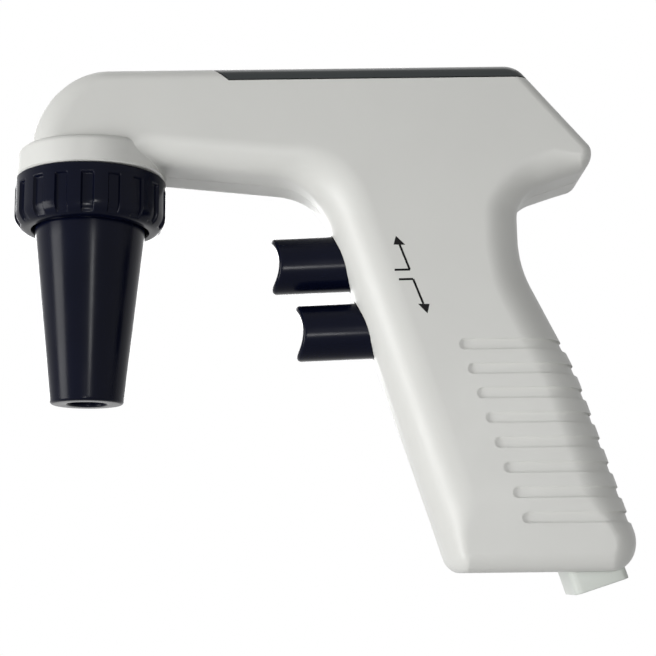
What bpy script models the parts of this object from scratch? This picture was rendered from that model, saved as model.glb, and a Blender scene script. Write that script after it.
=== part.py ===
"""Pipette controller with a pistol grip, built as separate closed pieces.

Lengths are metres and +Z is up. The origin is the middle of the grip, the nose points
towards -X and the photographed side is -Y.
"""
import math

import bpy
import bmesh
from mathutils import Matrix, Vector

# General
GAP = 0.0003              # space kept between touching pieces

# Housing
BODY_WIDTH = 0.0330       # over the flat sides
WALL = 0.0022             # shell thickness
TOP_Z = 0.0915            # top of the arm
JOINT_Z = 0.0647          # plane between the housing and the collar
UNDER_STEP = 0.0012       # how far the arm's underside starts above that plane
BOTTOM_Z = -0.0425        # foot of the grip
NOSE_X = -0.1067          # axis of the nose
NOSE_REACH = 0.0149       # nose axis to the front of the housing
NOSE_TOP_RADIUS = 0.0214
GRIP_FRONT_X = -0.0111    # front edge of the grip at its foot
GRIP_BACK_X = 0.0393      # back edge of the grip at its foot
GRIP_FRONT_SLOPE = 0.327  # how far the front edge leans, per unit of height
GRIP_BACK_SLOPE = 0.314
KNEE_Z = 0.0097           # above this height the back leans further
KNEE_SLOPE = 0.484
KNEE_RADIUS = 0.0600
REAR_TOP_X = 0.0090       # where the top would meet the rear slope
REAR_SLOPE = 0.8405
TAIL_Z = 0.0652           # height of the tail's tip
ARM_ROOT_Z = 0.06147      # height where the arm's underside would meet the grip
TAIL_RISE = 0.36          # how far the tail's underside rises, per unit of length
WEB_X = 0.0090            # deepest point of the hollow between tail and grip
ARM_ROOT_RADIUS = 0.0175
WEB_RADIUS = 0.0090
WEB_LOW_RADIUS = 0.0300
BOSS_STEP = 0.0004        # the round boss is this much smaller than the collar
BOSS_HEIGHT = 0.0075
BOSS_DRAWN = 0.0022       # how far the boss is drawn out along the arm's sides
BOSS_FILLET = 0.0015      # where it runs into them
BOSS_ROUND = 0.0018

# Grooves of the grip
GROOVES = 8
GROOVE_TOP_Z = 0.01543
GROOVE_PITCH = 0.00634
GROOVE_TOP_X = -0.0084    # front end of the highest groove
GROOVE_LEAN = 0.00207     # each groove starts this much further back
GROOVE_WIDTH = 0.0026
GROOVE_DEPTH = 0.0006

# Top cover strip
COVER_FRONT_X = -0.0720   # top of the slanted front end
COVER_SLANT = 0.0044      # how far the foot of that end sits behind its top
COVER_SKIRT = 0.0037
COVER_THICKNESS = 0.0015

# Collar
COLLAR_RADIUS = 0.0204
COLLAR_HEIGHT = 0.0139
COLLAR_BAND = 0.0024      # plain band above the flutes
FLUTES = 18
FLUTE_SHARE = 0.53        # part of the pitch taken by the recess
FLUTE_DEPTH = 0.0008
FLUTE_PHASE = math.radians(7.1)
COLLAR_WALL = 0.0042      # collar's outside to the thread

# Nose cone
CONE_STEP = 0.0013        # flange that the collar holds
CONE_TIP_RADIUS = 0.0098
CONE_WALL = 0.0020
CONE_LENGTH = 0.0475      # below the collar
MOUTH_RADIUS = 0.00525

# Pipette adapter
ADAPTER_MOUTH = 0.0049
ADAPTER_BORE = 0.0031

# Triggers
TRIGGER_RADIUS = 0.0076
TRIGGER_PITCH = 0.0185
TRIGGER_TILT = math.radians(1.8)
TRIGGER_TRAVEL = 0.0060
UPPER_REACH = 0.0176      # how far each trigger stands out of the grip
LOWER_REACH = 0.0170
UPPER_TRIGGER_Z = 0.0406
SCOOP_DEPTH = 0.0019
PLUNGER_RADIUS = 0.0025
SPRING_RADIUS = 0.0042
SPRING_WIRE = 0.0004

# Battery pack, in a frame that runs up along the grip
PACK_DEPTH = 0.0145
PACK_WIDTH = 0.0180
PACK_LID = 0.0052
PACK_SHOWS = 0.0042       # how far it stands out of the foot
PACK_BACK = 0.0054        # back edge of the grip to the pack
PACK_ROUND = 0.0020
PACK_WALL = 0.0012
PACK_FLOOR = 0.0060
CONTACT_HEIGHT = 0.0050   # of the block above the pack
CELL_RADIUS = 0.0052
CELL_LENGTH = 0.0440

# Pump
MOTOR_RADIUS = 0.0090
PUMP_HEIGHT = 0.0132

# Hoses
HOSE = 0.0019
HOSE_BORE = 0.0015
BARB = 0.0010

# Screws of the housing
SCREW_RADIUS = 0.0012
SCREW_HEAD = 0.0026
SCREW_BOSS = 0.0042

HALF = BODY_WIDTH / 2.0
BOSS_RADIUS = COLLAR_RADIUS - BOSS_STEP
THREAD_RADIUS = COLLAR_RADIUS - COLLAR_WALL
CONE_TOP_RADIUS = THREAD_RADIUS - CONE_STEP
PACK_LENGTH = PACK_FLOOR + CELL_LENGTH + PACK_LID + 2 * GAP + 0.0002

COLOURS = {
    "shell": (0.60, 0.60, 0.57, 0.45),
    "dark": (0.012, 0.013, 0.022, 0.30),
    "gloss": (0.030, 0.034, 0.036, 0.12),
    "pale": (0.52, 0.56, 0.50, 0.40),
    "white": (0.75, 0.75, 0.73, 0.45),
    "clear_silicone": (0.62, 0.60, 0.55, 0.55),
    "rubber": (0.03, 0.03, 0.03, 0.70),
    "board": (0.02, 0.16, 0.07, 0.50),
    "steel": (0.55, 0.56, 0.58, 0.28),
    "brass": (0.65, 0.48, 0.20, 0.30),
    "cell": (0.05, 0.18, 0.42, 0.40),
    "chip": (0.02, 0.02, 0.02, 0.50),
    "lamp": (0.10, 0.55, 0.20, 0.30),
}


def clear_scene():
    """Take every object out of the scene."""
    for item in list(bpy.data.objects):
        bpy.data.objects.remove(item, do_unlink=True)


def grip_front(z):
    """X of the grip's front edge at height z."""
    return GRIP_FRONT_X - GRIP_FRONT_SLOPE * (z - BOTTOM_Z)


def grip_back(z):
    """X of the grip's back edge at height z."""
    if z <= KNEE_Z:
        return GRIP_BACK_X - GRIP_BACK_SLOPE * (z - BOTTOM_Z)
    return GRIP_BACK_X - GRIP_BACK_SLOPE * (KNEE_Z - BOTTOM_Z) - KNEE_SLOPE * (z - KNEE_Z)


def link(mesh, name):
    """Put a mesh into the scene as an object."""
    thing = bpy.data.objects.new(name, mesh)
    bpy.context.collection.objects.link(thing)
    return thing


def from_bmesh(bm, name, matrix=None):
    """Close a bmesh into an object, faces outward."""
    if matrix is not None:
        bmesh.ops.transform(bm, matrix=matrix, verts=bm.verts)
    bmesh.ops.recalc_face_normals(bm, faces=bm.faces)
    mesh = bpy.data.meshes.new(name)
    bm.to_mesh(mesh)
    bm.free()
    return link(mesh, name)


def lathe(name, profile, segments=40, matrix=None, wave=None):
    """Turn a closed profile of (radius, height) points about Z.

    wave(index, angle) gives a radius change for a profile point.
    """
    bm = bmesh.new()
    rings = []
    for index, (radius, height) in enumerate(profile):
        if radius <= 0.0:
            rings.append([bm.verts.new((0.0, 0.0, height))])
            continue
        ring = []
        for k in range(segments):
            angle = 2.0 * math.pi * k / segments
            r = radius
            if wave is not None:
                r += wave(index, k)
            ring.append(bm.verts.new((r * math.cos(angle), r * math.sin(angle), height)))
        rings.append(ring)
    for index, ring in enumerate(rings):
        other = rings[(index + 1) % len(rings)]
        if len(ring) == 1 and len(other) == 1:
            continue
        for k in range(segments):
            n = (k + 1) % segments
            if len(ring) == 1:
                bm.faces.new((ring[0], other[k], other[n]))
            elif len(other) == 1:
                bm.faces.new((ring[k], ring[n], other[0]))
            else:
                bm.faces.new((ring[k], ring[n], other[n], other[k]))
    return from_bmesh(bm, name, matrix)


def block(name, low, high, matrix=None, bevel=0.0):
    """A box between two corners, its edges cut back by bevel."""
    bm = bmesh.new()
    bmesh.ops.create_cube(bm, size=1.0)
    for vert in bm.verts:
        vert.co = Vector([low[i] + (vert.co[i] + 0.5) * (high[i] - low[i]) for i in range(3)])
    if bevel > 0.0:
        bmesh.ops.bevel(bm, geom=list(bm.edges), offset=bevel, segments=2, profile=0.5,
                        affect="EDGES")
    return from_bmesh(bm, name, matrix)


def prism(name, points, low, high, matrix=None):
    """An outline in X and Z, drawn out along Y."""
    bm = bmesh.new()
    near = [bm.verts.new((x, low, z)) for x, z in points]
    far = [bm.verts.new((x, high, z)) for x, z in points]
    bm.faces.new(near)
    bm.faces.new(far)
    count = len(points)
    for k in range(count):
        n = (k + 1) % count
        bm.faces.new((near[k], near[n], far[n], far[k]))
    return from_bmesh(bm, name, matrix)


def rod(name, radius, start, end, segments=24):
    """A round bar between two points."""
    a = Vector(start)
    b = Vector(end)
    axis = b - a
    turn = axis.to_track_quat("Z", "Y").to_matrix().to_4x4()
    matrix = Matrix.Translation(a) @ turn
    profile = [(0.0, 0.0), (radius, 0.0), (radius, axis.length), (0.0, axis.length)]
    return lathe(name, profile, segments, matrix)


def rounded_path(points, radius, steps=3):
    """A path through points, its corners rounded."""
    pts = [Vector(p) for p in points]
    out = [pts[0]]
    for k in range(1, len(pts) - 1):
        before = (pts[k - 1] - pts[k]).normalized()
        after = (pts[k + 1] - pts[k]).normalized()
        reach = min(radius, 0.45 * (pts[k - 1] - pts[k]).length, 0.45 * (pts[k + 1] - pts[k]).length)
        start = pts[k] + before * reach
        end = pts[k] + after * reach
        for s in range(steps + 1):
            t = s / steps
            out.append(start * (1 - t) ** 2 + pts[k] * 2 * t * (1 - t) + end * t * t)
    out.append(pts[-1])
    return out


def sweep(name, path, radius, bore=0.0, sides=6):
    """A round section carried along a path, hollow when bore is given."""
    bm = bmesh.new()
    count = len(path)
    normal = None
    rings = []
    bores = []
    for k in range(count):
        ahead = path[min(k + 1, count - 1)] - path[max(k - 1, 0)]
        ahead.normalize()
        if normal is None:
            normal = ahead.orthogonal().normalized()
        normal = (normal - ahead * normal.dot(ahead)).normalized()
        side = ahead.cross(normal)
        ring = []
        inner = []
        for s in range(sides):
            angle = 2.0 * math.pi * s / sides
            way = normal * math.cos(angle) + side * math.sin(angle)
            ring.append(bm.verts.new(path[k] + way * radius))
            if bore > 0.0:
                inner.append(bm.verts.new(path[k] + way * bore))
        rings.append(ring)
        bores.append(inner)
    for rows in ([rings, bores] if bore > 0.0 else [rings]):
        for k in range(count - 1):
            for s in range(sides):
                n = (s + 1) % sides
                bm.faces.new((rows[k][s], rows[k][n], rows[k + 1][n], rows[k + 1][s]))
    for k in (0, count - 1):
        if bore > 0.0:
            for s in range(sides):
                n = (s + 1) % sides
                bm.faces.new((rings[k][s], rings[k][n], bores[k][n], bores[k][s]))
        else:
            bm.faces.new(rings[k])
    return from_bmesh(bm, name)


def combine(target, cutter, operation="DIFFERENCE"):
    """Apply an exact Boolean to target and take the cutter away."""
    modifier = target.modifiers.new("shape", "BOOLEAN")
    modifier.operation = operation
    modifier.solver = "EXACT"
    modifier.object = cutter
    graph = bpy.context.evaluated_depsgraph_get()
    graph.update()
    mesh = bpy.data.meshes.new_from_object(target.evaluated_get(graph))
    target.modifiers.clear()
    bm = bmesh.new()
    bm.from_mesh(mesh)
    bmesh.ops.remove_doubles(bm, verts=bm.verts, dist=1e-6)
    bm.to_mesh(mesh)
    bm.free()
    target.data = mesh
    bpy.data.objects.remove(cutter, do_unlink=True)
    return target


def paint(thing, colour, metallic=0.0, alpha=1.0):
    """Give a piece its own material, and smooth its round faces."""
    red, green, blue, rough = COLOURS[colour]
    name = thing.name
    material = bpy.data.materials.new(name)
    material.use_nodes = True
    shader = material.node_tree.nodes["Principled BSDF"]
    shader.inputs["Base Color"].default_value = (red, green, blue, 1.0)
    shader.inputs["Roughness"].default_value = rough
    shader.inputs["Metallic"].default_value = metallic
    shader.inputs["Alpha"].default_value = alpha
    thing.data.materials.clear()
    thing.data.materials.append(material)
    thing.data.name = name
    for face in thing.data.polygons:
        face.use_smooth = True
        face.material_index = 0
    thing.data.set_sharp_from_angle(angle=math.radians(32.0))
    return thing


def housing_corners():
    """Corners of the outline: x, z, corner radius, edge rounding of the side after it."""
    front_x = NOSE_X - NOSE_REACH
    deep = JOINT_Z - 0.0100
    root_x = grip_front(ARM_ROOT_Z)
    under_x = NOSE_X + BOSS_RADIUS
    under_rise = (JOINT_Z + UNDER_STEP - ARM_ROOT_Z) / (root_x - under_x)
    knee_x = grip_back(KNEE_Z)
    web_low = KNEE_Z + (knee_x - WEB_X) / KNEE_SLOPE
    tail_x = REAR_TOP_X + REAR_SLOPE * (TOP_Z - TAIL_Z)
    web_top = TAIL_Z - TAIL_RISE * (tail_x - WEB_X)
    return [
        (front_x, deep, 0.0040, 0.0090),
        (front_x, TOP_Z, min(NOSE_TOP_RADIUS, TOP_Z - JOINT_Z - 0.0044), 0.0035),
        (REAR_TOP_X, TOP_Z, 0.0070, 0.0030),
        (tail_x, TAIL_Z, 0.0032, 0.0085),
        (WEB_X, web_top, WEB_RADIUS, 0.0100),
        (WEB_X, web_low, WEB_LOW_RADIUS, 0.0110),
        (knee_x, KNEE_Z, KNEE_RADIUS, 0.0110),
        (GRIP_BACK_X, BOTTOM_Z, 0.0075, 0.0050),
        (GRIP_FRONT_X, BOTTOM_Z, 0.0056, 0.0120),
        (root_x, ARM_ROOT_Z, ARM_ROOT_RADIUS, 0.0075),
        (under_x - 0.0040, JOINT_Z + UNDER_STEP + 0.0040 * under_rise, 0.0015, 0.0060),
        (under_x - 0.0040, deep, 0.0040, 0.0036),
    ]


def offset_corners(corners, depth):
    """The same outline moved inward by depth."""
    moved = []
    count = len(corners)
    for k, (x, z, radius, edge) in enumerate(corners):
        here = Vector((x, z))
        before = (here - Vector(corners[k - 1][:2])).normalized()
        after = (Vector(corners[(k + 1) % count][:2]) - here).normalized()
        n1 = Vector((before.y, -before.x))
        n2 = Vector((after.y, -after.x))
        shift = (n1 + n2) * (depth / (1.0 + n1.dot(n2)))
        turn = before.x * after.y - before.y * after.x
        new_radius = radius - depth if turn < 0.0 else radius + depth
        new_radius = max(new_radius, min(radius, 0.0010))
        point = here + shift
        moved.append((point.x, point.y, new_radius, max(edge - depth, 0.0006)))
    return moved


def outline(corners, arc_step=math.radians(14.0)):
    """Points of the outline, each with its inward normal and edge rounding."""
    count = len(corners)
    arcs = []
    for k in range(count):
        here = Vector(corners[k][:2])
        radius = corners[k][2]
        before = (here - Vector(corners[k - 1][:2])).normalized()
        after = (Vector(corners[(k + 1) % count][:2]) - here).normalized()
        turn = math.atan2(before.x * after.y - before.y * after.x, before.dot(after))
        reach = radius * math.tan(abs(turn) / 2.0)
        start = here - before * reach
        sign = 1.0 if turn > 0.0 else -1.0
        centre = start + Vector((-before.y, before.x)) * radius * sign
        steps = max(2, int(math.ceil(abs(turn) / arc_step)))
        arcs.append((start, here + after * reach, centre, turn, steps, before, after, radius))
    result = []
    for k in range(count):
        start, end, centre, turn, steps, before, after, radius = arcs[k]
        edge_in = corners[k - 1][3]
        edge_out = corners[k][3]
        limit = radius * 0.93 if turn < 0.0 else 1.0
        for s in range(steps + 1):
            t = s / steps
            angle = turn * t
            arm = start - centre
            ca = math.cos(angle)
            sa = math.sin(angle)
            point = centre + Vector((arm.x * ca - arm.y * sa, arm.x * sa + arm.y * ca))
            way = Vector((before.x * ca - before.y * sa, before.x * sa + before.y * ca))
            blend = t * t * (3.0 - 2.0 * t)
            edge = min(edge_in + (edge_out - edge_in) * blend, limit)
            result.append((point, Vector((way.y, -way.x)), edge))
        following = arcs[(k + 1) % count]
        first_edge = result[-1][2]
        next_limit = following[7] * 0.93 if following[3] < 0.0 else 1.0
        last_edge = min(edge_out, next_limit)
        span = following[0] - end
        length = span.length
        if length < 0.0008:
            continue
        blend_length = min(0.014, 0.45 * length)
        marks = []
        if abs(first_edge - edge_out) > 1e-5:
            marks += [blend_length * f for f in (0.25, 0.5, 0.75, 1.0)]
        if abs(last_edge - edge_out) > 1e-5:
            marks += [length - blend_length * f for f in (1.0, 0.75, 0.5, 0.25)]
        inward = Vector((after.y, -after.x))
        for mark in sorted(marks):
            head = min(mark / blend_length, 1.0)
            tail = min((length - mark) / blend_length, 1.0)
            head = head * head * (3.0 - 2.0 * head)
            tail = tail * tail * (3.0 - 2.0 * tail)
            edge = first_edge + (edge_out - first_edge) * head
            edge += (last_edge - edge_out) * (1.0 - tail)
            result.append((end + span * (mark / length), inward, edge))
    return result


def housing_solid(name, depth=0.0, arc_step=math.radians(14.0), edge_steps=4):
    """The whole housing as one solid, moved inward by depth and cut flat under the nose."""
    corners = housing_corners()
    if depth > 0.0:
        corners = offset_corners(corners, depth)
    half = HALF - depth
    points = outline(corners, arc_step)
    bm = bmesh.new()
    rows = []
    for side in (-1.0, 1.0):
        levels = range(edge_steps, -1, -1) if side < 0.0 else range(edge_steps + 1)
        for level in levels:
            angle = 0.5 * math.pi * level / edge_steps
            row = []
            for point, inward, edge in points:
                inset = edge * (1.0 - math.cos(angle))
                y = side * (half - edge + edge * math.sin(angle))
                row.append(bm.verts.new((point.x + inward.x * inset, y, point.y + inward.y * inset)))
            rows.append(row)
    count = len(points)
    for a, b in zip(rows, rows[1:]):
        for k in range(count):
            n = (k + 1) % count
            bm.faces.new((a[k], a[n], b[n], b[k]))
    bm.faces.new(rows[0])
    bm.faces.new(rows[-1])
    solid = from_bmesh(bm, name)
    below = block("below", (NOSE_X - 0.04, -0.05, JOINT_Z - 0.03),
                  (NOSE_X + BOSS_RADIUS - 0.0015, 0.05, JOINT_Z + 0.0002 + depth))
    return combine(solid, below)


def trigger_frame(index):
    """Matrix of a trigger: local X runs back into the grip, the origin is at its scoop."""
    reach = (UPPER_REACH, LOWER_REACH)[index]
    z = UPPER_TRIGGER_Z - index * TRIGGER_PITCH / math.cos(TRIGGER_TILT)
    front = Vector((grip_front(z) - reach * math.cos(TRIGGER_TILT), 0.0,
                    z - reach * math.sin(TRIGGER_TILT)))
    return Matrix.Translation(front) @ Matrix.Rotation(-TRIGGER_TILT, 4, "Y")


def trigger_flange(index):
    """Distance from the scoop to the flange behind the wall."""
    slant = GRIP_FRONT_SLOPE * (TRIGGER_RADIUS + 0.0014)
    return (UPPER_REACH, LOWER_REACH)[index] + WALL + slant + 0.0016


def pack_frame():
    """Matrix of the battery pack: local Z runs up the grip, the origin is at its foot."""
    lean = math.atan(GRIP_BACK_SLOPE)
    up = Vector((-math.sin(lean), 0.0, math.cos(lean)))
    inward = Vector((-math.cos(lean), 0.0, -math.sin(lean)))
    foot = Vector((GRIP_BACK_X, 0.0, BOTTOM_Z)) + inward * (PACK_BACK + PACK_DEPTH / 2.0)
    foot += up * ((BOTTOM_Z - PACK_SHOWS * up.z - foot.z) / up.z)
    return Matrix.Translation(foot) @ Matrix.Rotation(-lean, 4, "Y")


def rounded_rectangle(depth, width, radius, steps=4):
    """Points of a rectangle with round corners, in X and Y."""
    points = []
    for sx, sy, first in ((1, 1, 0.0), (-1, 1, 90.0), (-1, -1, 180.0), (1, -1, 270.0)):
        cx = sx * (depth / 2.0 - radius)
        cy = sy * (width / 2.0 - radius)
        for s in range(steps + 1):
            angle = math.radians(first + 90.0 * s / steps)
            points.append((cx + radius * math.cos(angle), cy + radius * math.sin(angle)))
    return points


def upright(name, sections, matrix=None):
    """Stack closed sections of equal point count: each is (points, z)."""
    bm = bmesh.new()
    rows = [[bm.verts.new((x, y, z)) for x, y in points] for points, z in sections]
    count = len(rows[0])
    for a, b in zip(rows, rows[1:]):
        for k in range(count):
            n = (k + 1) % count
            bm.faces.new((a[k], a[n], b[n], b[k]))
    bm.faces.new(rows[0])
    bm.faces.new(rows[-1])
    return from_bmesh(bm, name, matrix)


def nose_matrix():
    """Matrix that puts a turned piece on the nose axis."""
    return Matrix.Translation((NOSE_X, 0.0, 0.0))


def socket_levels():
    """Heights of the nose stack, from the joint plane down."""
    thread_top = JOINT_Z - 2.0 * GAP
    collar_top = JOINT_Z - GAP
    lip_top = collar_top - (COLLAR_HEIGHT - 0.0039)
    flange_low = lip_top + GAP
    flange_top = flange_low + 0.0013
    seal_low = flange_top + GAP
    seal_top = seal_low + 0.0007
    socket_low = seal_top + GAP
    return thread_top, collar_top, lip_top, flange_low, flange_top, seal_low, seal_top, socket_low


def screw_places():
    """Axes of the housing screws in X and Z."""
    return [
        (NOSE_X - 0.0090, JOINT_Z + 0.0128),
        (NOSE_X + 0.0287, JOINT_Z + UNDER_STEP + 0.0067),
        (REAR_TOP_X + 0.0040, TAIL_Z + 0.0060),
        (grip_front(-0.0300) + 0.0092, -0.0300),
        (grip_front(0.0050) + 0.0100, 0.0050),
        (REAR_TOP_X - 0.0065, TAIL_Z - 0.0015),
    ]


def boss_outline(inset, steps=19):
    """Plan of the boss, moved inward: round, drawn out and filleted into the arm's sides."""
    radius = BOSS_RADIUS - inset
    flank = HALF - 0.0001
    centre_y = flank + BOSS_FILLET
    reach = math.sqrt((BOSS_RADIUS + BOSS_FILLET) ** 2 - centre_y ** 2)
    centre_x = BOSS_DRAWN + reach
    meet = math.atan2(centre_y, reach)
    side = []
    for s in range(5):
        angle = 1.5 * math.pi + (meet - 0.5 * math.pi) * s / 4
        side.append((centre_x + (BOSS_FILLET + inset) * math.cos(angle),
                     centre_y + (BOSS_FILLET + inset) * math.sin(angle)))
    for s in range(6):
        angle = meet + (0.5 * math.pi - meet) * s / 5
        side.append((BOSS_DRAWN + radius * math.cos(angle), radius * math.sin(angle)))
    half_turn = math.asin((flank - 0.0014 - inset) / radius)
    points = []
    for s in range(steps + 1):
        angle = half_turn * (2.0 * s / steps - 1.0)
        points.append((radius * math.cos(angle), radius * math.sin(angle)))
    points += side
    for s in range(2 * steps + 1):
        angle = 0.5 * math.pi + math.pi * (s + 0.5) / (2 * steps + 1)
        points.append((radius * math.cos(angle), radius * math.sin(angle)))
    points += [(x, -y) for x, y in reversed(side)]
    return points


def make_housing():
    """Both half shells, hollow, with bosses, seats, holes and grooves."""
    whole = housing_solid("whole")
    top = JOINT_Z + BOSS_HEIGHT
    boss = upright("boss", [
        (boss_outline(0.0004), JOINT_Z), (boss_outline(0.0), JOINT_Z + 0.0004),
        (boss_outline(0.0), top - BOSS_ROUND),
        (boss_outline(BOSS_ROUND * 0.3), top - BOSS_ROUND * 0.3), (boss_outline(BOSS_ROUND), top),
    ], nose_matrix())
    combine(whole, boss, "UNION")

    hollow = housing_solid("hollow", WALL, math.radians(22.0), 3)
    reach = HALF - WALL + 0.0004
    for x, z in screw_places():
        combine(hollow, rod("post", SCREW_BOSS, (x, -HALF, z), (x, HALF, z), 20))
    cradle = motor_level()
    suction, vacuum, pressure = barb_places()
    between = (suction[0] + pressure[0]) / 2.0
    before = vacuum[0] - HOSE - 3.0 * GAP
    for low, high in ((before - 0.0018, before), (between - 0.0008, between + 0.0008)):
        plate = block("plate", (low, -HALF, 0.0570), (high, HALF, cradle - 0.0045))
        cradle_cut = rod("cradle", MOTOR_RADIUS + GAP, (low - 0.001, 0, cradle),
                         (high + 0.001, 0, cradle))
        combine(plate, cradle_cut)
        combine(hollow, plate)
    board_z = board_level()
    for side in (-1.0, 1.0):
        outer = side * (HALF + 0.001)
        front = board_front()
        for low, high in ((front - 0.0005, front + 0.0025), (-0.0040, -0.0005)):
            near = side * 0.0113
            ledge = block("ledge", (low, min(near, outer), board_z - GAP - 0.0021),
                          (high, max(near, outer), board_z - GAP))
            combine(hollow, ledge)
        near = side * 0.0065
        shelf = block("shelf", (-0.0440, min(near, outer), 0.0560),
                      (-0.0380, max(near, outer), pump_low() - GAP))
        combine(hollow, shelf)
    rest = valve_outline()[0][0] + 0.0059
    near, far = valve_sides()
    for side, edge, length in ((-1.0, near - GAP, 0.0090), (1.0, far + 0.0047, 0.0040)):
        outer = side * (HALF + 0.001)
        pad = block("pad", (rest, min(edge, outer), valve_low() + 0.0069),
                    (rest + length, max(edge, outer), valve_top() - 0.0048))
        combine(hollow, pad)
    frame = pack_frame()
    seat_low = PACK_LENGTH + 0.0012
    for side in (-1.0, 1.0):
        near = side * (0.0100 + GAP)
        outer = side * (HALF + 0.001)
        seat = block("seat", (-0.0060, min(near, outer), seat_low),
                     (0.0020, max(near, outer), seat_low + 0.0045), frame)
        combine(hollow, seat)

    neck = THREAD_RADIUS - 0.0008 + GAP
    well = lathe("well", [
        (0.0, JOINT_Z - 0.004), (neck, JOINT_Z - 0.004), (neck, JOINT_Z + 0.0012),
        (neck + 0.0019, JOINT_Z + 0.0012), (neck + 0.0019, JOINT_Z + 0.0038),
        (neck - 0.0034, JOINT_Z + 0.0038), (neck - 0.0034, JOINT_Z + 0.0078),
        (0.0, JOINT_Z + 0.0078),
    ], 40, nose_matrix())
    combine(whole, well)
    for index in (0, 1):
        end = trigger_flange(index) + 0.004
        hole = lathe("hole", [
            (0.0, 0.004), (TRIGGER_RADIUS + GAP, 0.004), (TRIGGER_RADIUS + GAP, end), (0.0, end),
        ], 32, trigger_frame(index) @ Matrix.Rotation(math.pi / 2.0, 4, "Y"))
        combine(whole, hole)
    slot = rounded_rectangle(PACK_DEPTH + 2 * GAP, PACK_WIDTH + 2 * GAP, PACK_ROUND + GAP)
    combine(whole, upright("slot", [(slot, -0.003), (slot, PACK_FLOOR + 0.012)], frame))
    combine(whole, cover_region("strip", GAP))
    combine(whole, groove_cutter())
    combine(whole, hollow)

    halves = []
    for name, side in (("housing_left", -1.0), ("housing_right", 1.0)):
        half = link(whole.data.copy(), name)
        near = side * GAP / 2.0
        outer = side * 0.05
        keep = block("keep", (-0.2, min(near, outer), -0.2), (0.2, max(near, outer), 0.2))
        combine(half, keep, "INTERSECT")
        for x, z in screw_places():
            if side < 0.0:
                combine(half, rod("tap", SCREW_RADIUS + GAP, (x, -0.0100, z), (x, 0.001, z), 16))
                continue
            combine(half, lathe("drill", [
                (0.0, -0.001), (SCREW_RADIUS + GAP, -0.001), (SCREW_RADIUS + GAP, 0.0060),
                (SCREW_HEAD + GAP, 0.0060), (SCREW_HEAD + GAP, HALF + 0.002), (0.0, HALF + 0.002),
            ], 20, Matrix.Translation((x, 0, z)) @ Matrix.Rotation(-math.pi / 2.0, 4, "X")))
        halves.append(paint(half, "shell"))
    bpy.data.objects.remove(whole, do_unlink=True)
    return halves


def cover_region(name, gap):
    """The space taken by the cover strip, grown by gap."""
    foot = TOP_Z - COVER_SKIRT - gap
    lean = COVER_SLANT / COVER_SKIRT
    slack = gap * math.sqrt(1.0 + lean * lean)
    rise = 0.006
    x_foot = COVER_FRONT_X + COVER_SLANT - slack + lean * gap
    x_top = COVER_FRONT_X - slack - lean * rise
    return prism(name, [(x_foot, foot), (0.03, foot), (0.03, TOP_Z + rise), (x_top, TOP_Z + rise)],
                 -0.05, 0.05)


def groove_cutter():
    """Shallow bands round the back of the grip."""
    bands = None
    for k in range(GROOVES):
        z = GROOVE_TOP_Z - GROOVE_PITCH * k
        x = GROOVE_TOP_X + GROOVE_LEAN * k
        half = GROOVE_WIDTH / 2.0
        points = [(0.05, z - half), (0.05, z + half)]
        for s in range(7):
            angle = math.radians(90.0 + 180.0 * s / 6)
            points.append((x + half + half * math.cos(angle), z + half * math.sin(angle)))
        band = prism("band", points, -0.05, 0.05)
        bands = band if bands is None else combine(bands, band, "UNION")
    core = housing_solid("core", GROOVE_DEPTH)
    return combine(bands, core)


def make_cover():
    """The dark strip over the arm."""
    cover = housing_solid("top_cover")
    combine(cover, cover_region("strip", 0.0), "INTERSECT")
    low = board_front() - 4.0 * GAP / 3.0
    pocket = block("pocket", (low, -HALF + COVER_THICKNESS, TOP_Z - COVER_SKIRT - 0.001),
                   (REAR_TOP_X - 0.0052, HALF - COVER_THICKNESS, TOP_Z - COVER_THICKNESS))
    combine(cover, pocket)
    return paint(cover, "gloss")


def motor_level():
    """Height of the motor's shaft."""
    return TOP_Z - 0.0172


def pump_low():
    """Underside of the pump body."""
    return motor_level() - 0.0074


def board_front():
    """Front end of the control board, behind the strip's slanted end."""
    return COVER_FRONT_X + COVER_SLANT + 0.0016


def board_level():
    """Underside of the control board."""
    return TOP_Z - 0.0039


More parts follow.
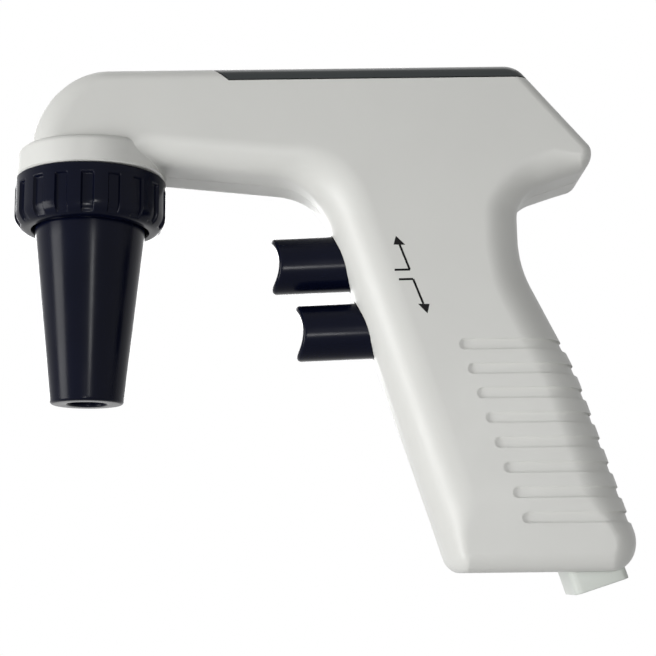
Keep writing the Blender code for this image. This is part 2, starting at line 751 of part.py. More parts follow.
def make_nose():
    """Socket, seal, collar, cone, adapter, filter and check valve."""
    base = nose_matrix()
    levels = socket_levels()
    thread_top, collar_top, lip_top, flange_low, flange_top, seal_low, seal_top, socket_low = levels
    floor_low = JOINT_Z + 0.0017
    floor_top = JOINT_Z + 0.0035
    bottom = collar_top - COLLAR_HEIGHT
    high = bottom - 0.0090
    upper = high + 0.0059
    valve = upper + 0.0026 + GAP
    spigot = valve + 0.0092 + GAP
    paint(lathe("nose_socket", [
        (0.0006, spigot), (0.0022, spigot), (0.0022, floor_low),
        (THREAD_RADIUS - 0.0028, floor_low), (THREAD_RADIUS - 0.0028, socket_low),
        (THREAD_RADIUS, socket_low), (THREAD_RADIUS, thread_top), (THREAD_RADIUS - 0.0008, thread_top),
        (THREAD_RADIUS - 0.0008, JOINT_Z + 0.0015), (THREAD_RADIUS + 0.0011, JOINT_Z + 0.0015),
        (THREAD_RADIUS + 0.0011, floor_top), (BARB, floor_top),
        (BARB, floor_top + 0.0060), (0.0006, floor_top + 0.0060),
    ], 32, base), "white")
    paint(lathe("nose_seal", [
        (THREAD_RADIUS - 0.0024, seal_low), (THREAD_RADIUS - 0.0002, seal_low),
        (THREAD_RADIUS - 0.0002, seal_top), (THREAD_RADIUS - 0.0024, seal_top),
    ], 28, base), "rubber")

    bore = THREAD_RADIUS + 0.0005
    lip_radius = CONE_TOP_RADIUS + 0.0004

    def flute(index, k):
        if index in (4, 5, 6) and k % 4 in (1, 2):
            return -FLUTE_DEPTH
        return 0.0

    collar = lathe("collar", [
        (bore, collar_top), (COLLAR_RADIUS - 0.0003, collar_top), (COLLAR_RADIUS, collar_top - 0.0003),
        (COLLAR_RADIUS, collar_top - COLLAR_BAND), (COLLAR_RADIUS, collar_top - COLLAR_BAND - 0.0006),
        (COLLAR_RADIUS, bottom + 0.0040), (COLLAR_RADIUS - 0.0008, bottom + 0.0018),
        (COLLAR_RADIUS - 0.0028, bottom + 0.0002), (COLLAR_RADIUS - 0.0034, bottom),
        (lip_radius + 0.0007, bottom), (lip_radius, bottom + 0.0015), (lip_radius, lip_top),
        (bore, lip_top),
    ], FLUTES * 4, None, flute)
    pitch = 2.0 * math.pi / FLUTES
    marks = (0.0, 0.04, FLUTE_SHARE, FLUTE_SHARE + 0.04)
    for vert in collar.data.vertices:
        x, y, z = vert.co
        radius = math.hypot(x, y)
        place = round(math.atan2(y, x) / pitch * 4.0)
        angle = (place // 4 + marks[place % 4]) * pitch + FLUTE_PHASE
        vert.co = Vector((radius * math.cos(angle), radius * math.sin(angle), z))
    collar.data.transform(base)
    paint(collar, "dark")

    tip = bottom - CONE_LENGTH
    slope = (CONE_TOP_RADIUS - CONE_TIP_RADIUS) / (CONE_LENGTH - 0.0010)
    inner_low = tip + 0.0022

    def cone_inner(z):
        if z > bottom:
            return CONE_TOP_RADIUS - CONE_WALL
        return CONE_TOP_RADIUS - (bottom - z) * slope - CONE_WALL

    flange = min(THREAD_RADIUS, bore - GAP)
    paint(lathe("nose_cone", [
        (MOUTH_RADIUS, tip + 0.0003), (MOUTH_RADIUS + 0.0004, tip), (CONE_TIP_RADIUS - 0.0012, tip),
        (CONE_TIP_RADIUS - 0.0002, tip + 0.0005), (CONE_TIP_RADIUS + 0.0001, tip + 0.0016),
        (CONE_TOP_RADIUS, bottom), (CONE_TOP_RADIUS, flange_low), (flange, flange_low),
        (flange, flange_top), (cone_inner(flange_top), flange_top), (cone_inner(bottom), bottom),
        (cone_inner(inner_low), inner_low), (MOUTH_RADIUS, inner_low),
    ], 40, base), "dark")

    low = inner_low + GAP
    paint(lathe("pipette_adapter", [
        (ADAPTER_MOUTH, low), (cone_inner(low) - GAP, low), (cone_inner(high) - GAP, high),
        (0.0025, high), (0.0025, high - 0.0075), (ADAPTER_BORE, high - 0.0110),
    ], 28, base), "clear_silicone")

    disc = CONE_TOP_RADIUS - CONE_WALL - 0.0015
    paint(lathe("filter_lower", [
        (0.0012, high - 0.0030), (0.0022, high - 0.0030), (0.0022, high + 0.0020),
        (disc, high + 0.0020), (disc, high + 0.0050), (0.0012, high + 0.0050),
    ], 24, base), "white")
    paint(lathe("filter_membrane", [
        (0.0, high + 0.0053), (disc - 0.0008, high + 0.0053), (disc - 0.0008, high + 0.0056),
        (0.0, high + 0.0056),
    ], 24, base), "white")
    paint(lathe("filter_upper", [
        (0.0012, upper), (disc, upper), (disc, upper + 0.0026), (0.0022, upper + 0.0026),
        (0.0022, upper + 0.0071), (0.0012, upper + 0.0071),
    ], 24, base), "white")
    paint(lathe("check_valve_body", [
        (0.0025, valve), (0.0065, valve), (0.0065, valve + 0.0117), (0.0025, valve + 0.0117),
        (0.0025, valve + 0.0092), (0.0012, valve + 0.0092), (0.0012, valve + 0.0082),
        (0.0038, valve + 0.0082), (0.0038, valve + 0.0062), (0.0012, valve + 0.0062),
        (0.0012, valve + 0.0045), (0.0025, valve + 0.0045),
    ], 16, base), "pale")
    paint(lathe("check_valve_disc", [
        (0.0, valve + 0.0065), (0.0033, valve + 0.0065), (0.0033, valve + 0.0071),
        (0.0, valve + 0.0071),
    ], 16, base), "rubber")


def make_triggers():
    """Both triggers with plunger, spring and magnet, and the valve block."""
    for index, name in ((0, "upper"), (1, "lower")):
        flange = trigger_flange(index)
        frame = trigger_frame(index)
        lie = frame @ Matrix.Rotation(math.pi / 2.0, 4, "Y")
        radius = TRIGGER_RADIUS
        back = flange + 0.0015
        button = lathe(name + "_trigger", [
            (0.0, -0.0040), (radius, -0.0040), (radius, flange), (radius + 0.0014, flange),
            (radius + 0.0014, back), (PLUNGER_RADIUS + GAP, back),
            (PLUNGER_RADIUS + GAP, back - 0.0045), (0.0, back - 0.0045),
        ], 32, lie)
        bow = (radius * radius + SCOOP_DEPTH * SCOOP_DEPTH) / (2.0 * SCOOP_DEPTH)
        points = [(-0.012, -radius - 0.004)]
        limit = radius + 0.0002
        for s in range(9):
            v = -limit + 2.0 * limit * s / 8
            points.append((bow * math.cos(math.asin(v / bow)) - bow, v))
        points.append((-0.012, radius + 0.004))
        scoop = prism("scoop", points, -0.02, 0.02, frame)
        combine(button, scoop)
        paint(button, "dark")
        stem_end = back + 0.0190
        paint(lathe(name + "_plunger", [
            (0.0, back - 0.0042), (PLUNGER_RADIUS, back - 0.0042), (PLUNGER_RADIUS, stem_end - 0.0060),
            (PLUNGER_RADIUS - 0.0008, stem_end - 0.0052), (PLUNGER_RADIUS - 0.0008, stem_end - 0.0032),
            (PLUNGER_RADIUS, stem_end - 0.0024), (PLUNGER_RADIUS, stem_end), (0.0, stem_end),
        ], 16, lie), "white")
        face = valve_front(index) - GAP - SPRING_WIRE
        begin = back + GAP + SPRING_WIRE
        turns = 5
        path = []
        steps = turns * 9
        for s in range(steps + 1):
            angle = 2.0 * math.pi * turns * s / steps
            along = begin + (face - begin) * s / steps
            spot = Vector((along, SPRING_RADIUS * math.cos(angle), SPRING_RADIUS * math.sin(angle)))
            path.append(frame @ spot)
        paint(sweep(name + "_spring", path, SPRING_WIRE, 0.0, 5), "steel", 1.0)
        magnet = lathe(name + "_magnet", [
            (0.0, back + GAP), (0.0012, back + GAP), (0.0012, back + 0.0018), (0.0, back + 0.0018),
        ], 14, frame @ Matrix.Translation((0, 0.0068, 0)) @ Matrix.Rotation(math.pi / 2.0, 4, "Y"))
        paint(magnet, "steel", 1.0)

    top = valve_top()
    low = valve_low()
    body = prism("valve_block", valve_outline(), *valve_sides())
    for index in (0, 1):
        frame = trigger_frame(index)
        lie = frame @ Matrix.Rotation(math.pi / 2.0, 4, "Y")
        front = valve_front(index)
        combine(body, lathe("bore", [
            (0.0, front - 0.005), (PLUNGER_RADIUS + GAP, front - 0.005),
            (PLUNGER_RADIUS + GAP, front + 0.0145), (0.0, front + 0.0145),
        ], 20, lie))
    for x, y in barb_places():
        combine(body, rod("barb", BARB, (x, y, top - 0.002), (x, y, top + 0.0045), 12), "UNION")
    paint(body, "pale")
    spot = valve_outline()[1][0] * 0.45 + valve_outline()[2][0] * 0.55 + 0.0011
    middle = top * 0.45 + low * 0.55
    paint(rod("exhaust_filter", 0.0030, (spot, -0.0030, middle), (spot + 0.0045, -0.0030, middle), 16),
          "white")


def valve_sides():
    """Left and right face of the valve block, in Y."""
    return -(HALF - 0.0055), HALF - 0.0079


def valve_top():
    """Top of the valve block."""
    return UPPER_TRIGGER_Z + 0.0092


def valve_low():
    """Underside of the valve block."""
    return UPPER_TRIGGER_Z - TRIGGER_PITCH - 0.0090


def valve_outline():
    """Outline of the valve block in X and Z, its front parallel to the grip's front.

    Where the battery's contact block comes near, the corner above it is cut away.
    """
    top = valve_top()
    low = valve_low()
    shift = TRIGGER_TRAVEL + WALL + 0.0132
    corners = [
        (grip_front(top) + shift, top), (grip_front(top) + shift + 0.0165, top),
        (grip_front(low) + shift + 0.0150, low), (grip_front(low) + shift, low),
    ]
    frame = pack_frame().inverted()
    floor = contact_level() + CONTACT_HEIGHT + GAP
    heights = [(frame @ Vector((x, 0.0, z))).z - floor for x, z in corners]
    kept = []
    for k, (x, z) in enumerate(corners):
        if heights[k] >= 0.0:
            kept.append((x, z))
        n = (k + 1) % len(corners)
        if heights[k] * heights[n] < 0.0:
            share = heights[k] / (heights[k] - heights[n])
            kept.append((x + (corners[n][0] - x) * share, z + (corners[n][1] - z) * share))
    return kept


def contact_level():
    """Underside of the contact block, along the battery pack."""
    return PACK_LENGTH + 0.0009 + 2 * GAP


def valve_front(index):
    """Distance from a trigger's scoop to the valve block, on the trigger's axis."""
    corner = valve_outline()
    a = Vector((corner[0][0], corner[0][1]))
    b = Vector((corner[-1][0], corner[-1][1]))
    frame = trigger_frame(index)
    origin = frame.translation
    way = frame.to_3x3() @ Vector((1.0, 0.0, 0.0))
    edge = b - a
    start = Vector((origin.x, origin.z)) - a
    cross = way.x * edge.y - way.z * edge.x
    reach = (edge.x * start.y - edge.y * start.x) / cross
    return reach


def barb_places():
    """Hose barbs on top of the valve block: suction, vacuum and pressure."""
    x = valve_outline()[0][0]
    return [(x + 0.0060, 0.0055), (x + 0.0025, -0.0055), (x + 0.0127, -0.0055)]


def make_sensors():
    """The sensor board beside the valve block, with its two sensors."""
    low = valve_low() + 0.0020
    top = valve_top() - 0.0005
    right = -0.0080
    paint(prism("sensor_board", [
        (grip_front(low) + 0.0098, low), (right, low), (right, top), (grip_front(top) + 0.0200, top),
    ], 0.0120, 0.0130), "board")
    for index, name in ((0, "upper_sensor"), (1, "lower_sensor")):
        z = UPPER_TRIGGER_Z - TRIGGER_PITCH * index + 0.0015
        x = grip_front(z) + 0.0212
        if index == 0:
            x = grip_front(z) + 0.0226
        paint(block(name, (x, 0.0098, z - 0.0020), (x + 0.0030, 0.0120 - GAP, z + 0.0020)), "chip")


def make_pump():
    """Diaphragm pump with its motor."""
    axis = motor_level()
    low = pump_low()
    top = low + PUMP_HEIGHT
    front = -0.0480
    rear = -0.0273
    side = 0.0085
    centre = -0.0390
    throw = 0.0008
    body = block("pump_body", (front, -side, low), (rear, side, top))
    combine(body, block("room", (front + 0.0025, -side + 0.0024, low + 0.0024),
                        (rear + 0.002, side - 0.0024, top + 0.002)))
    paint(body, "chip")
    ring = lathe("pump_diaphragm", [
        (0.0033, -0.0020), (0.0046, -0.0020), (0.0046, 0.0020), (0.0033, 0.0020),
    ], 24, Matrix.Translation((centre, 0, axis + throw)) @ Matrix.Rotation(math.pi / 2.0, 4, "Y"))
    rod_low = axis + throw + 0.0040
    combine(ring, block("rod", (centre - 0.0010, -0.0015, rod_low),
                        (centre + 0.0010, 0.0015, top + 0.0007)), "UNION")
    disc = lathe("disc", [
        (0.0, top + GAP), (0.0072, top + GAP), (0.0072, top + GAP + 0.0008),
        (0.0, top + GAP + 0.0008),
    ], 28, Matrix.Translation((centre, 0, 0)))
    combine(ring, disc, "UNION")
    paint(ring, "rubber")
    plate_low = top + 2 * GAP + 0.0008
    plate = block("pump_valve_plate", (front, -side, plate_low), (rear, side, plate_low + 0.0016))
    for y in (-0.0040, 0.0040):
        combine(plate, rod("port", 0.0012, (centre, y, plate_low - 0.001),
                           (centre, y, plate_low + 0.003), 12))
    paint(plate, "pale")
    cover_low = plate_low + 0.0016 + GAP
    cover = block("pump_cover", (front, -side, cover_low), (rear, side, cover_low + 0.0032))
    port_z = cover_low + 0.0016
    for y in (-0.0040, 0.0040):
        combine(cover, rod("port", BARB, (front + 0.003, y, port_z), (front - 0.0050, y, port_z), 12),
                "UNION")
    paint(cover, "chip")

    spin = Matrix.Translation((0, 0, axis)) @ Matrix.Rotation(math.pi / 2.0, 4, "Y")
    can_front = rear + GAP
    can_rear = -0.0040
    shaft = 0.0010
    paint(lathe("motor_can", [
        (shaft + GAP, can_front), (MOTOR_RADIUS, can_front), (MOTOR_RADIUS, can_rear),
        (MOTOR_RADIUS - 0.0012, can_rear), (MOTOR_RADIUS - 0.0012, can_front + 0.0015),
        (shaft + GAP, can_front + 0.0015),
    ], 36, spin), "steel", 1.0)
    paint(lathe("motor_end_cap", [
        (0.0, can_rear - 0.0022), (MOTOR_RADIUS - 0.0015, can_rear - 0.0022),
        (MOTOR_RADIUS - 0.0015, can_rear), (0.0, can_rear),
    ], 28, spin), "chip")
    paint(lathe("motor_rotor", [
        (0.0, front + 0.0028), (shaft, front + 0.0028), (shaft, can_front + 0.0040),
        (0.0062, can_front + 0.0040), (0.0062, can_rear - 0.0042), (shaft, can_rear - 0.0042),
        (shaft, can_rear - 0.0026), (0.0, can_rear - 0.0026),
    ], 24, spin), "steel", 1.0)
    eccentric = rod("eccentric", 0.0030, (centre - 0.0020, 0, axis + throw),
                    (centre + 0.0020, 0, axis + throw))
    combine(eccentric, rod("bore", shaft + GAP, (centre - 0.003, 0, axis),
                           (centre + 0.003, 0, axis), 16))
    paint(eccentric, "brass", 1.0)
    return port_z, front


def make_hoses(port_z, pump_front):
    """Three soft hoses that join nose, valve block and pump."""
    lane = HALF - WALL - HOSE - 0.0011
    top = valve_top()
    suction, vacuum, pressure = barb_places()
    nipple = JOINT_Z + 0.0035 + 0.0005
    rise = TOP_Z - 0.0117
    level = motor_level()
    path = [
        (NOSE_X, 0, nipple), (NOSE_X, 0, rise), (NOSE_X + 0.0267, lane, rise),
        (suction[0], lane, level), (suction[0], lane, top + 0.0112),
        (suction[0], suction[1], top + 0.0066), (suction[0], suction[1], top + 0.0006),
    ]
    paint(sweep("suction_hose", rounded_path(path, 0.006), HOSE, HOSE_BORE), "clear_silicone")
    for name, barb, y, turn, height in (
            ("vacuum_hose", vacuum, 0.0040, -0.0130, level + 0.0015),
            ("pressure_hose", pressure, -0.0040, -0.0085, level + 0.0085)):
        far = pump_front + turn
        path = [
            (pump_front - 0.0012, y, port_z), (far, y, port_z), (far, -lane, height),
            (barb[0], -lane, height), (barb[0], -lane, top + 0.0112), (barb[0], barb[1], top + 0.0066),
            (barb[0], barb[1], top + 0.0006),
        ]
        paint(sweep(name, rounded_path(path, 0.005), HOSE, HOSE_BORE), "clear_silicone")


def make_boards():
    """Control board under the cover strip, with chip, lamp and connector."""
    z = board_level()
    front = board_front()
    thick = 0.0010
    paint(block("control_board", (front, -0.0120, z), (0.0015, 0.0120, z + thick)), "board")
    paint(block("control_chip", (-0.0400, -0.0040, z + thick + GAP * 0.5),
                (-0.0320, 0.0040, z + thick + 0.0010)), "chip")
    paint(block("status_lamp", (front + 0.0060, -0.0015, z + thick + GAP * 0.5),
                (front + 0.0090, 0.0015, z + thick + 0.0009)), "lamp")
    paint(block("board_connector", (-0.0250, 0.0040, z + thick + GAP * 0.5),
                (-0.0180, 0.0100, z + thick + 0.0011)), "white")


def make_pack():
    """Battery pack: case, lid, cells and contacts, and the contact block above it."""
    frame = pack_frame()
    round_low = 0.0010
    foot = rounded_rectangle(PACK_DEPTH - 2 * round_low, PACK_WIDTH - 2 * round_low,
                             PACK_ROUND - round_low * 0.6)
    full = rounded_rectangle(PACK_DEPTH, PACK_WIDTH, PACK_ROUND)
    waist = rounded_rectangle(PACK_DEPTH - 0.0006, PACK_WIDTH - 0.0006, PACK_ROUND - 0.0002)
    case = upright("battery_case", [(foot, 0.0), (waist, 0.0003), (full, round_low),
                                    (full, PACK_LENGTH)], frame)
    inner = rounded_rectangle(PACK_DEPTH - 2 * PACK_WALL, PACK_WIDTH - 2 * PACK_WALL, 0.0008, 2)
    combine(case, upright("room", [(inner, PACK_FLOOR), (inner, PACK_LENGTH + 0.002)], frame))
    paint(case, "pale")
    cell_low = PACK_FLOOR + GAP
    cell_top = cell_low + CELL_LENGTH
    aside = PACK_WIDTH / 2.0 - PACK_WALL - GAP - CELL_RADIUS
    spot = frame @ Matrix.Translation((0.0, -aside, 0.0))
    paint(lathe("battery_cell", [
        (0.0, cell_low), (CELL_RADIUS, cell_low), (CELL_RADIUS, cell_top - 0.0008),
        (0.0018, cell_top - 0.0008), (0.0018, cell_top), (0.0, cell_top),
    ], 24, spot), "cell")
    clear = CELL_RADIUS - aside + GAP
    paint(block("protection_board", (-0.0045, clear, cell_low + 0.0020),
                (0.0045, clear + 0.0010, cell_top - 0.0040), frame), "board")
    lid_low = cell_top + GAP
    lid_shape = rounded_rectangle(PACK_DEPTH - 2 * PACK_WALL - 2 * GAP,
                                  PACK_WIDTH - 2 * PACK_WALL - 2 * GAP, 0.0006, 2)
    paint(upright("battery_lid", [(lid_shape, lid_low), (lid_shape, PACK_LENGTH - 0.0002)], frame),
          "chip")
    pad_top = PACK_LENGTH - 0.0002 + GAP
    contact_top = pad_top + 0.0005
    block_low = contact_level()
    for index, side in ((1, -1.0), (2, 1.0)):
        y = side * 0.0050
        paint(block("pack_contact_%d" % index, (-0.0015, y - 0.0020, pad_top - GAP * 0.5),
                    (0.0015, y + 0.0020, contact_top - GAP * 0.5), frame), "brass", 1.0)
        paint(block("contact_leaf_%d" % index, (-0.0012, y - 0.0014, contact_top + GAP * 0.5),
                    (0.0030, y + 0.0014, contact_top + GAP * 0.5 + 0.0004), frame), "brass", 1.0)
    paint(block("contact_block", (-0.0080, -0.0100, block_low), (0.0040, 0.0100, block_low + CONTACT_HEIGHT),
                frame), "chip")


def make_screws():
    """Six screws that hold the half shells together."""
    for index, (x, z) in enumerate(screw_places()):
        base = Matrix.Translation((x, 0, z)) @ Matrix.Rotation(-math.pi / 2.0, 4, "X")
        screw = lathe("housing_screw_%d" % (index + 1), [
            (0.0, -0.0090), (SCREW_RADIUS, -0.0090), (SCREW_RADIUS, 0.0063), (SCREW_HEAD, 0.0063),
            (SCREW_HEAD, 0.0079), (SCREW_HEAD - 0.0004, 0.0083), (0.0, 0.0083),
        ], 12, base)
        paint(screw, "steel", 1.0)


def main():
    """Build every piece."""
    clear_scene()
    make_housing()
    make_cover()
    make_nose()
    make_triggers()
    make_sensors()
    port_z, pump_front = make_pump()
    make_hoses(port_z, pump_front)
    make_boards()
    make_pack()
    make_screws()


main()
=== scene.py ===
"""Looks of the pipette controller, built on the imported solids.

Run as a script. Each operator makes one piece, or one group of like pieces, and gives it
its finish. Lengths are metres, in the frame of the solids: the nose points to -X, the side
with the two arrows is -Y and +Z is up.
"""

import math

import bmesh
import bpy
from mathutils import Matrix, Vector


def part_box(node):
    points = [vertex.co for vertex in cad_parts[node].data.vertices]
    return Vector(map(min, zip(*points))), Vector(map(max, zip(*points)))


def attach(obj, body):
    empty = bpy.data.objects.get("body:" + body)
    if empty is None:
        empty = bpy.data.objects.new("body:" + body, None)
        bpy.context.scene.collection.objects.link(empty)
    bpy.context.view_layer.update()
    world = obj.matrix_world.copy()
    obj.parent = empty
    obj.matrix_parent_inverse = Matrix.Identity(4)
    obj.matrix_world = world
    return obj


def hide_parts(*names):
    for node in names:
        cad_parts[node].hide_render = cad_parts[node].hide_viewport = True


bl_info = {
    "name": "Pipette Controller",
    "version": (1, 0, 0),
    "blender": (4, 5, 0),
    "location": "View3D > Sidebar > Pipette",
    "description": "Builds the looks of a pistol-grip pipette controller",
    "category": "Object",
}

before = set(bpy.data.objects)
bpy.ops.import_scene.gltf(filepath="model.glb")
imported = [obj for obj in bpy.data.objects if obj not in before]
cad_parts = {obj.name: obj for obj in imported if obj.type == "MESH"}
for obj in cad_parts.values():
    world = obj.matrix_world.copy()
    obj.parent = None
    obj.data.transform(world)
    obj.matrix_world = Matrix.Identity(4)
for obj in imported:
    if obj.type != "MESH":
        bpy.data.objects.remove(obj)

# Places and sizes of the solids, which the finer pieces repeat

GAP = 0.0003                            # between pieces that touch
COLLAR_LOW, COLLAR_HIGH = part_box("collar")
CONE_LOW, CONE_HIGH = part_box("nose_cone")
STRIP_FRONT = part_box("top_cover")[0].x
SCREWS = ["housing_screw_%d" % k for k in range(1, 7)]
NOSE_X = (COLLAR_LOW.x + COLLAR_HIGH.x) / 2.0
JOINT_Z = COLLAR_HIGH.z + GAP           # flat end of the boss over the collar
UNDER_STEP = 0.0012                     # from there up to the arm's underside
FOOT_Z = -0.0425                        # foot of the grip
FRONT_X, FRONT_LEAN = -0.0111, 0.327    # the grip's front at its foot, and its slope
BACK_X, BACK_LEAN = 0.0393, 0.314       # the grip's back at its foot, and its slope
STRIP_SIDE, STRIP_SLANT = 0.0037, 0.0044    # height on the arm's sides, length of its front slant
SOCKET_HOLE, RING_GROOVE, SOCKET_HEAD = 0.0157, 0.0176, 0.0123  # radii of the nose's well
GROOVE_START = (-0.0084, 0.0, 0.01543)  # front end of the highest groove
GROOVE_SHIFT = 0.00207                  # each groove starts this much further back
SCREW_BORE, SCREW_TUBE, SCREW_WELL = 0.0017, 0.0042, 0.0029     # radii
PACK_DEPTH, PACK_WIDTH = 0.0145, 0.0180
PACK_INSET, PACK_SHOWN = 0.0054, 0.0042     # from the grip's back, below the grip's foot
TRIGGER_RADIUS, TRIGGER_HOLE = 0.0076, 0.0079
TRIGGER_TILT = math.radians(1.8)
TRIGGER_Z, TRIGGER_SPACING = 0.0406, 0.0185
SLEEVE = 0.05                           # half width of cutters, well past the sides
PAST_ENDS = 0.2                         # reach of cutters well past both ends
MIDDLE = (-0.045, 0.0, 0.030)           # of the whole object
NOISE_LOW, NOISE_HIGH = 0.30, 0.70      # noise seldom leaves this range
TRIGGERS = (                            # reach before the grip, depth and setback of the scoop
    ("upper", 0.0176, 0.0036, 0.00095),
    ("lower", 0.0170, 0.0031, 0.00055),
)
ALONG_X = Matrix.Rotation(math.pi / 2.0, 4, "Y")
ALONG_Y = Matrix.Rotation(-math.pi / 2.0, 4, "X")
AT_NOSE = Matrix.Translation((NOSE_X, 0.0, 0.0))


# Settings that a user would change


def number(name, description, default, **more):
    """A number property."""
    return bpy.props.FloatProperty(name=name, description=description, default=default, **more)


def length(name, description, default, low=0.0):
    """A length property in metres."""
    return number(name, description, default, min=low, subtype="DISTANCE", unit="LENGTH",
                  precision=5)


def angle(name, description, default):
    """An angle property, given in degrees."""
    return number(name, description, math.radians(default), subtype="ANGLE")


def count(name, description, default):
    """A whole number property."""
    return bpy.props.IntProperty(name=name, description=description, default=default)


def colour(name, description, default):
    """A colour property."""
    return bpy.props.FloatVectorProperty(name=name, description=description, default=default,
                                         size=3, min=0.0, max=1.0, subtype="COLOR")


class PipetteHousingSettings(bpy.types.PropertyGroup):
    """Sizes of the half shells."""

    width: length("Width", "Over the flat sides", 0.0330)
    wall: length("Wall", "Thickness of the shells", 0.0022)
    top: length("Top", "Height of the arm's top", 0.0915)
    foot: length("Foot", "Height of the grip's foot", FOOT_Z, -1.0)
    nose_reach: length("Nose reach", "Nose axis to the front of the arm", 0.0149)
    nose_round: length("Nose rounding", "Radius of the arm's front end", 0.0214)
    boss_radius: length("Boss radius", "Round boss over the collar", 0.0200)
    boss_height: length("Boss height", "Height of that boss", 0.0075)
    boss_round: length("Boss rounding", "Rounding of its upper rim", 0.0016)
    boss_drawn: length("Boss drawn out", "How far it is drawn out along the arm", 0.0022)
    grooves: count("Grooves", "Grooves of the grip", 8)
    groove_pitch: length("Groove pitch", "Height from groove to groove", 0.00634)
    groove_width: length("Groove width", "Width of each groove", 0.0026)
    groove_depth: length("Groove depth", "Depth of each groove", 0.0006)


class PipetteNoseSettings(bpy.types.PropertyGroup):
    """Sizes of the collar and the cone."""

    flutes: count("Flutes", "Recesses of the collar", 18)
    flute_share: number("Flute share", "Part of the pitch taken by a recess", 0.47, min=0.0,
                        max=1.0, subtype="FACTOR")
    flute_depth: length("Flute depth", "Depth of each recess", 0.0008)
    flute_turn: angle("Flute turn", "Turn of the first recess", 12.7)
    collar_band: length("Collar band", "Plain band above the flutes", 0.0024)
    mouth_radius: length("Mouth radius", "Hole for the pipette", 0.00525)
    tip_radius: length("Tip radius", "Outside of the cone at its mouth", 0.0098)


class PipetteColourSettings(bpy.types.PropertyGroup):
    """Colours of the finishes."""

    shell: colour("Shell", "Light grey plastic of the half shells", (0.690, 0.692, 0.664))
    dark: colour("Dark", "Blue-black plastic of collar, cone and triggers",
                 (0.0020, 0.0030, 0.0110))
    strip: colour("Strip", "Glossy strip on the arm", (0.030, 0.036, 0.037))
    pack: colour("Pack", "Pale plastic of the battery pack", (0.63, 0.66, 0.62))
    ink: colour("Ink", "Print of the two arrows", (0.0060, 0.0055, 0.0060))


class PipetteStageSettings(bpy.types.PropertyGroup):
    """Camera and lights."""

    eye: bpy.props.FloatVectorProperty(name="Eye", description="Place of the camera", size=3,
                                       default=(-0.0420, -0.35718, -0.0425), subtype="XYZ",
                                       unit="LENGTH")
    tilt: angle("Tilt", "How far the camera looks up", 10.4)
    roll: angle("Roll", "How far the camera leans", -0.7)
    lens: number("Lens", "Focal length in millimetres", 73.81, unit="CAMERA")
    floor: length("Floor", "Height of the floor", -0.3600, -2.0)
    ambient: number("Ambient", "Level of the soft light", 0.11, min=0.0)


def settings():
    """The four groups of settings of the scene."""
    return [getattr(bpy.context.scene, name) for name in GROUPS]


# Node trees


class Wire:
    """An output of a node, on which maths is written as an expression."""

    def __init__(self, tree, socket):
        self.tree = tree
        self.socket = socket

    def __getitem__(self, name):
        return Wire(self.tree, self.socket.node.outputs[name])

    def maths(self, operation, first, second=0.0):
        """Add one Math node."""
        return self.tree.add("ShaderNodeMath", {0: first, 1: second}, operation=operation)

    def __add__(self, other):
        return self.maths("ADD", self, other)

    def __sub__(self, other):
        return self.maths("SUBTRACT", self, other)

    def __rsub__(self, other):
        return self.maths("SUBTRACT", other, self)

    def __mul__(self, other):
        return self.maths("MULTIPLY", self, other)

    def __truediv__(self, other):
        return self.maths("DIVIDE", self, other)


class Tree:
    """Adds nodes to a shader or geometry tree."""

    def __init__(self, tree):
        self.tree = tree

    def add(self, kind, values=None, **options):
        """Add a node: its options first, then the values or links of its sockets."""
        node = self.tree.nodes.new(kind)
        for name, value in options.items():
            setattr(node, name, value)
        for name, value in (values or {}).items():
            if isinstance(value, Wire):
                self.tree.links.new(value.socket, node.inputs[name])
            else:
                node.inputs[name].default_value = value
        outputs = [socket for socket in node.outputs if socket.enabled]
        return Wire(self, outputs[0]) if outputs else node

    def spread(self, value, low, high, first=0.0, last=1.0, way="LINEAR"):
        """Map a value from one range to another, held at the ends."""
        return self.add("ShaderNodeMapRange", {
            "Value": value, "From Min": low, "From Max": high, "To Min": first, "To Max": last},
            interpolation_type=way)

    def from_axis(self, parts):
        """Distance from the Z axis."""
        return parts.maths("SQRT", parts["X"] * parts["X"] + parts["Y"] * parts["Y"])


class ShapeTree(Tree):
    """A geometry tree with named inputs, run on a piece and applied."""

    def __init__(self, name, **inputs):
        group = bpy.data.node_groups.new(name, "GeometryNodeTree")
        super().__init__(group)
        for title, kind in inputs.items():
            group.interface.new_socket(title, in_out="INPUT", socket_type="NodeSocket" + kind)
        group.interface.new_socket("Geometry", in_out="OUTPUT", socket_type="NodeSocketGeometry")
        self.entry = self.add("NodeGroupInput")

    def close(self, shape):
        """End the tree: instances made real, then the finish."""
        real = self.add("GeometryNodeRealizeInstances", {"Geometry": shape})
        finished = self.add("GeometryNodeSetMaterial", {
            "Geometry": real, "Material": self.entry["Material"]})
        self.add("NodeGroupOutput", {"Geometry": finished})

    def run(self, piece, **values):
        """Run the tree on a piece, its inputs set by identifier, and leave a plain mesh."""
        modifier = piece.modifiers.new(self.tree.name, "NODES")
        modifier.node_group = self.tree
        for item in self.tree.interface.items_tree:
            if item.item_type == "SOCKET" and item.in_out == "INPUT" and item.name in values:
                modifier[item.identifier] = values[item.name]
        return applied(piece)


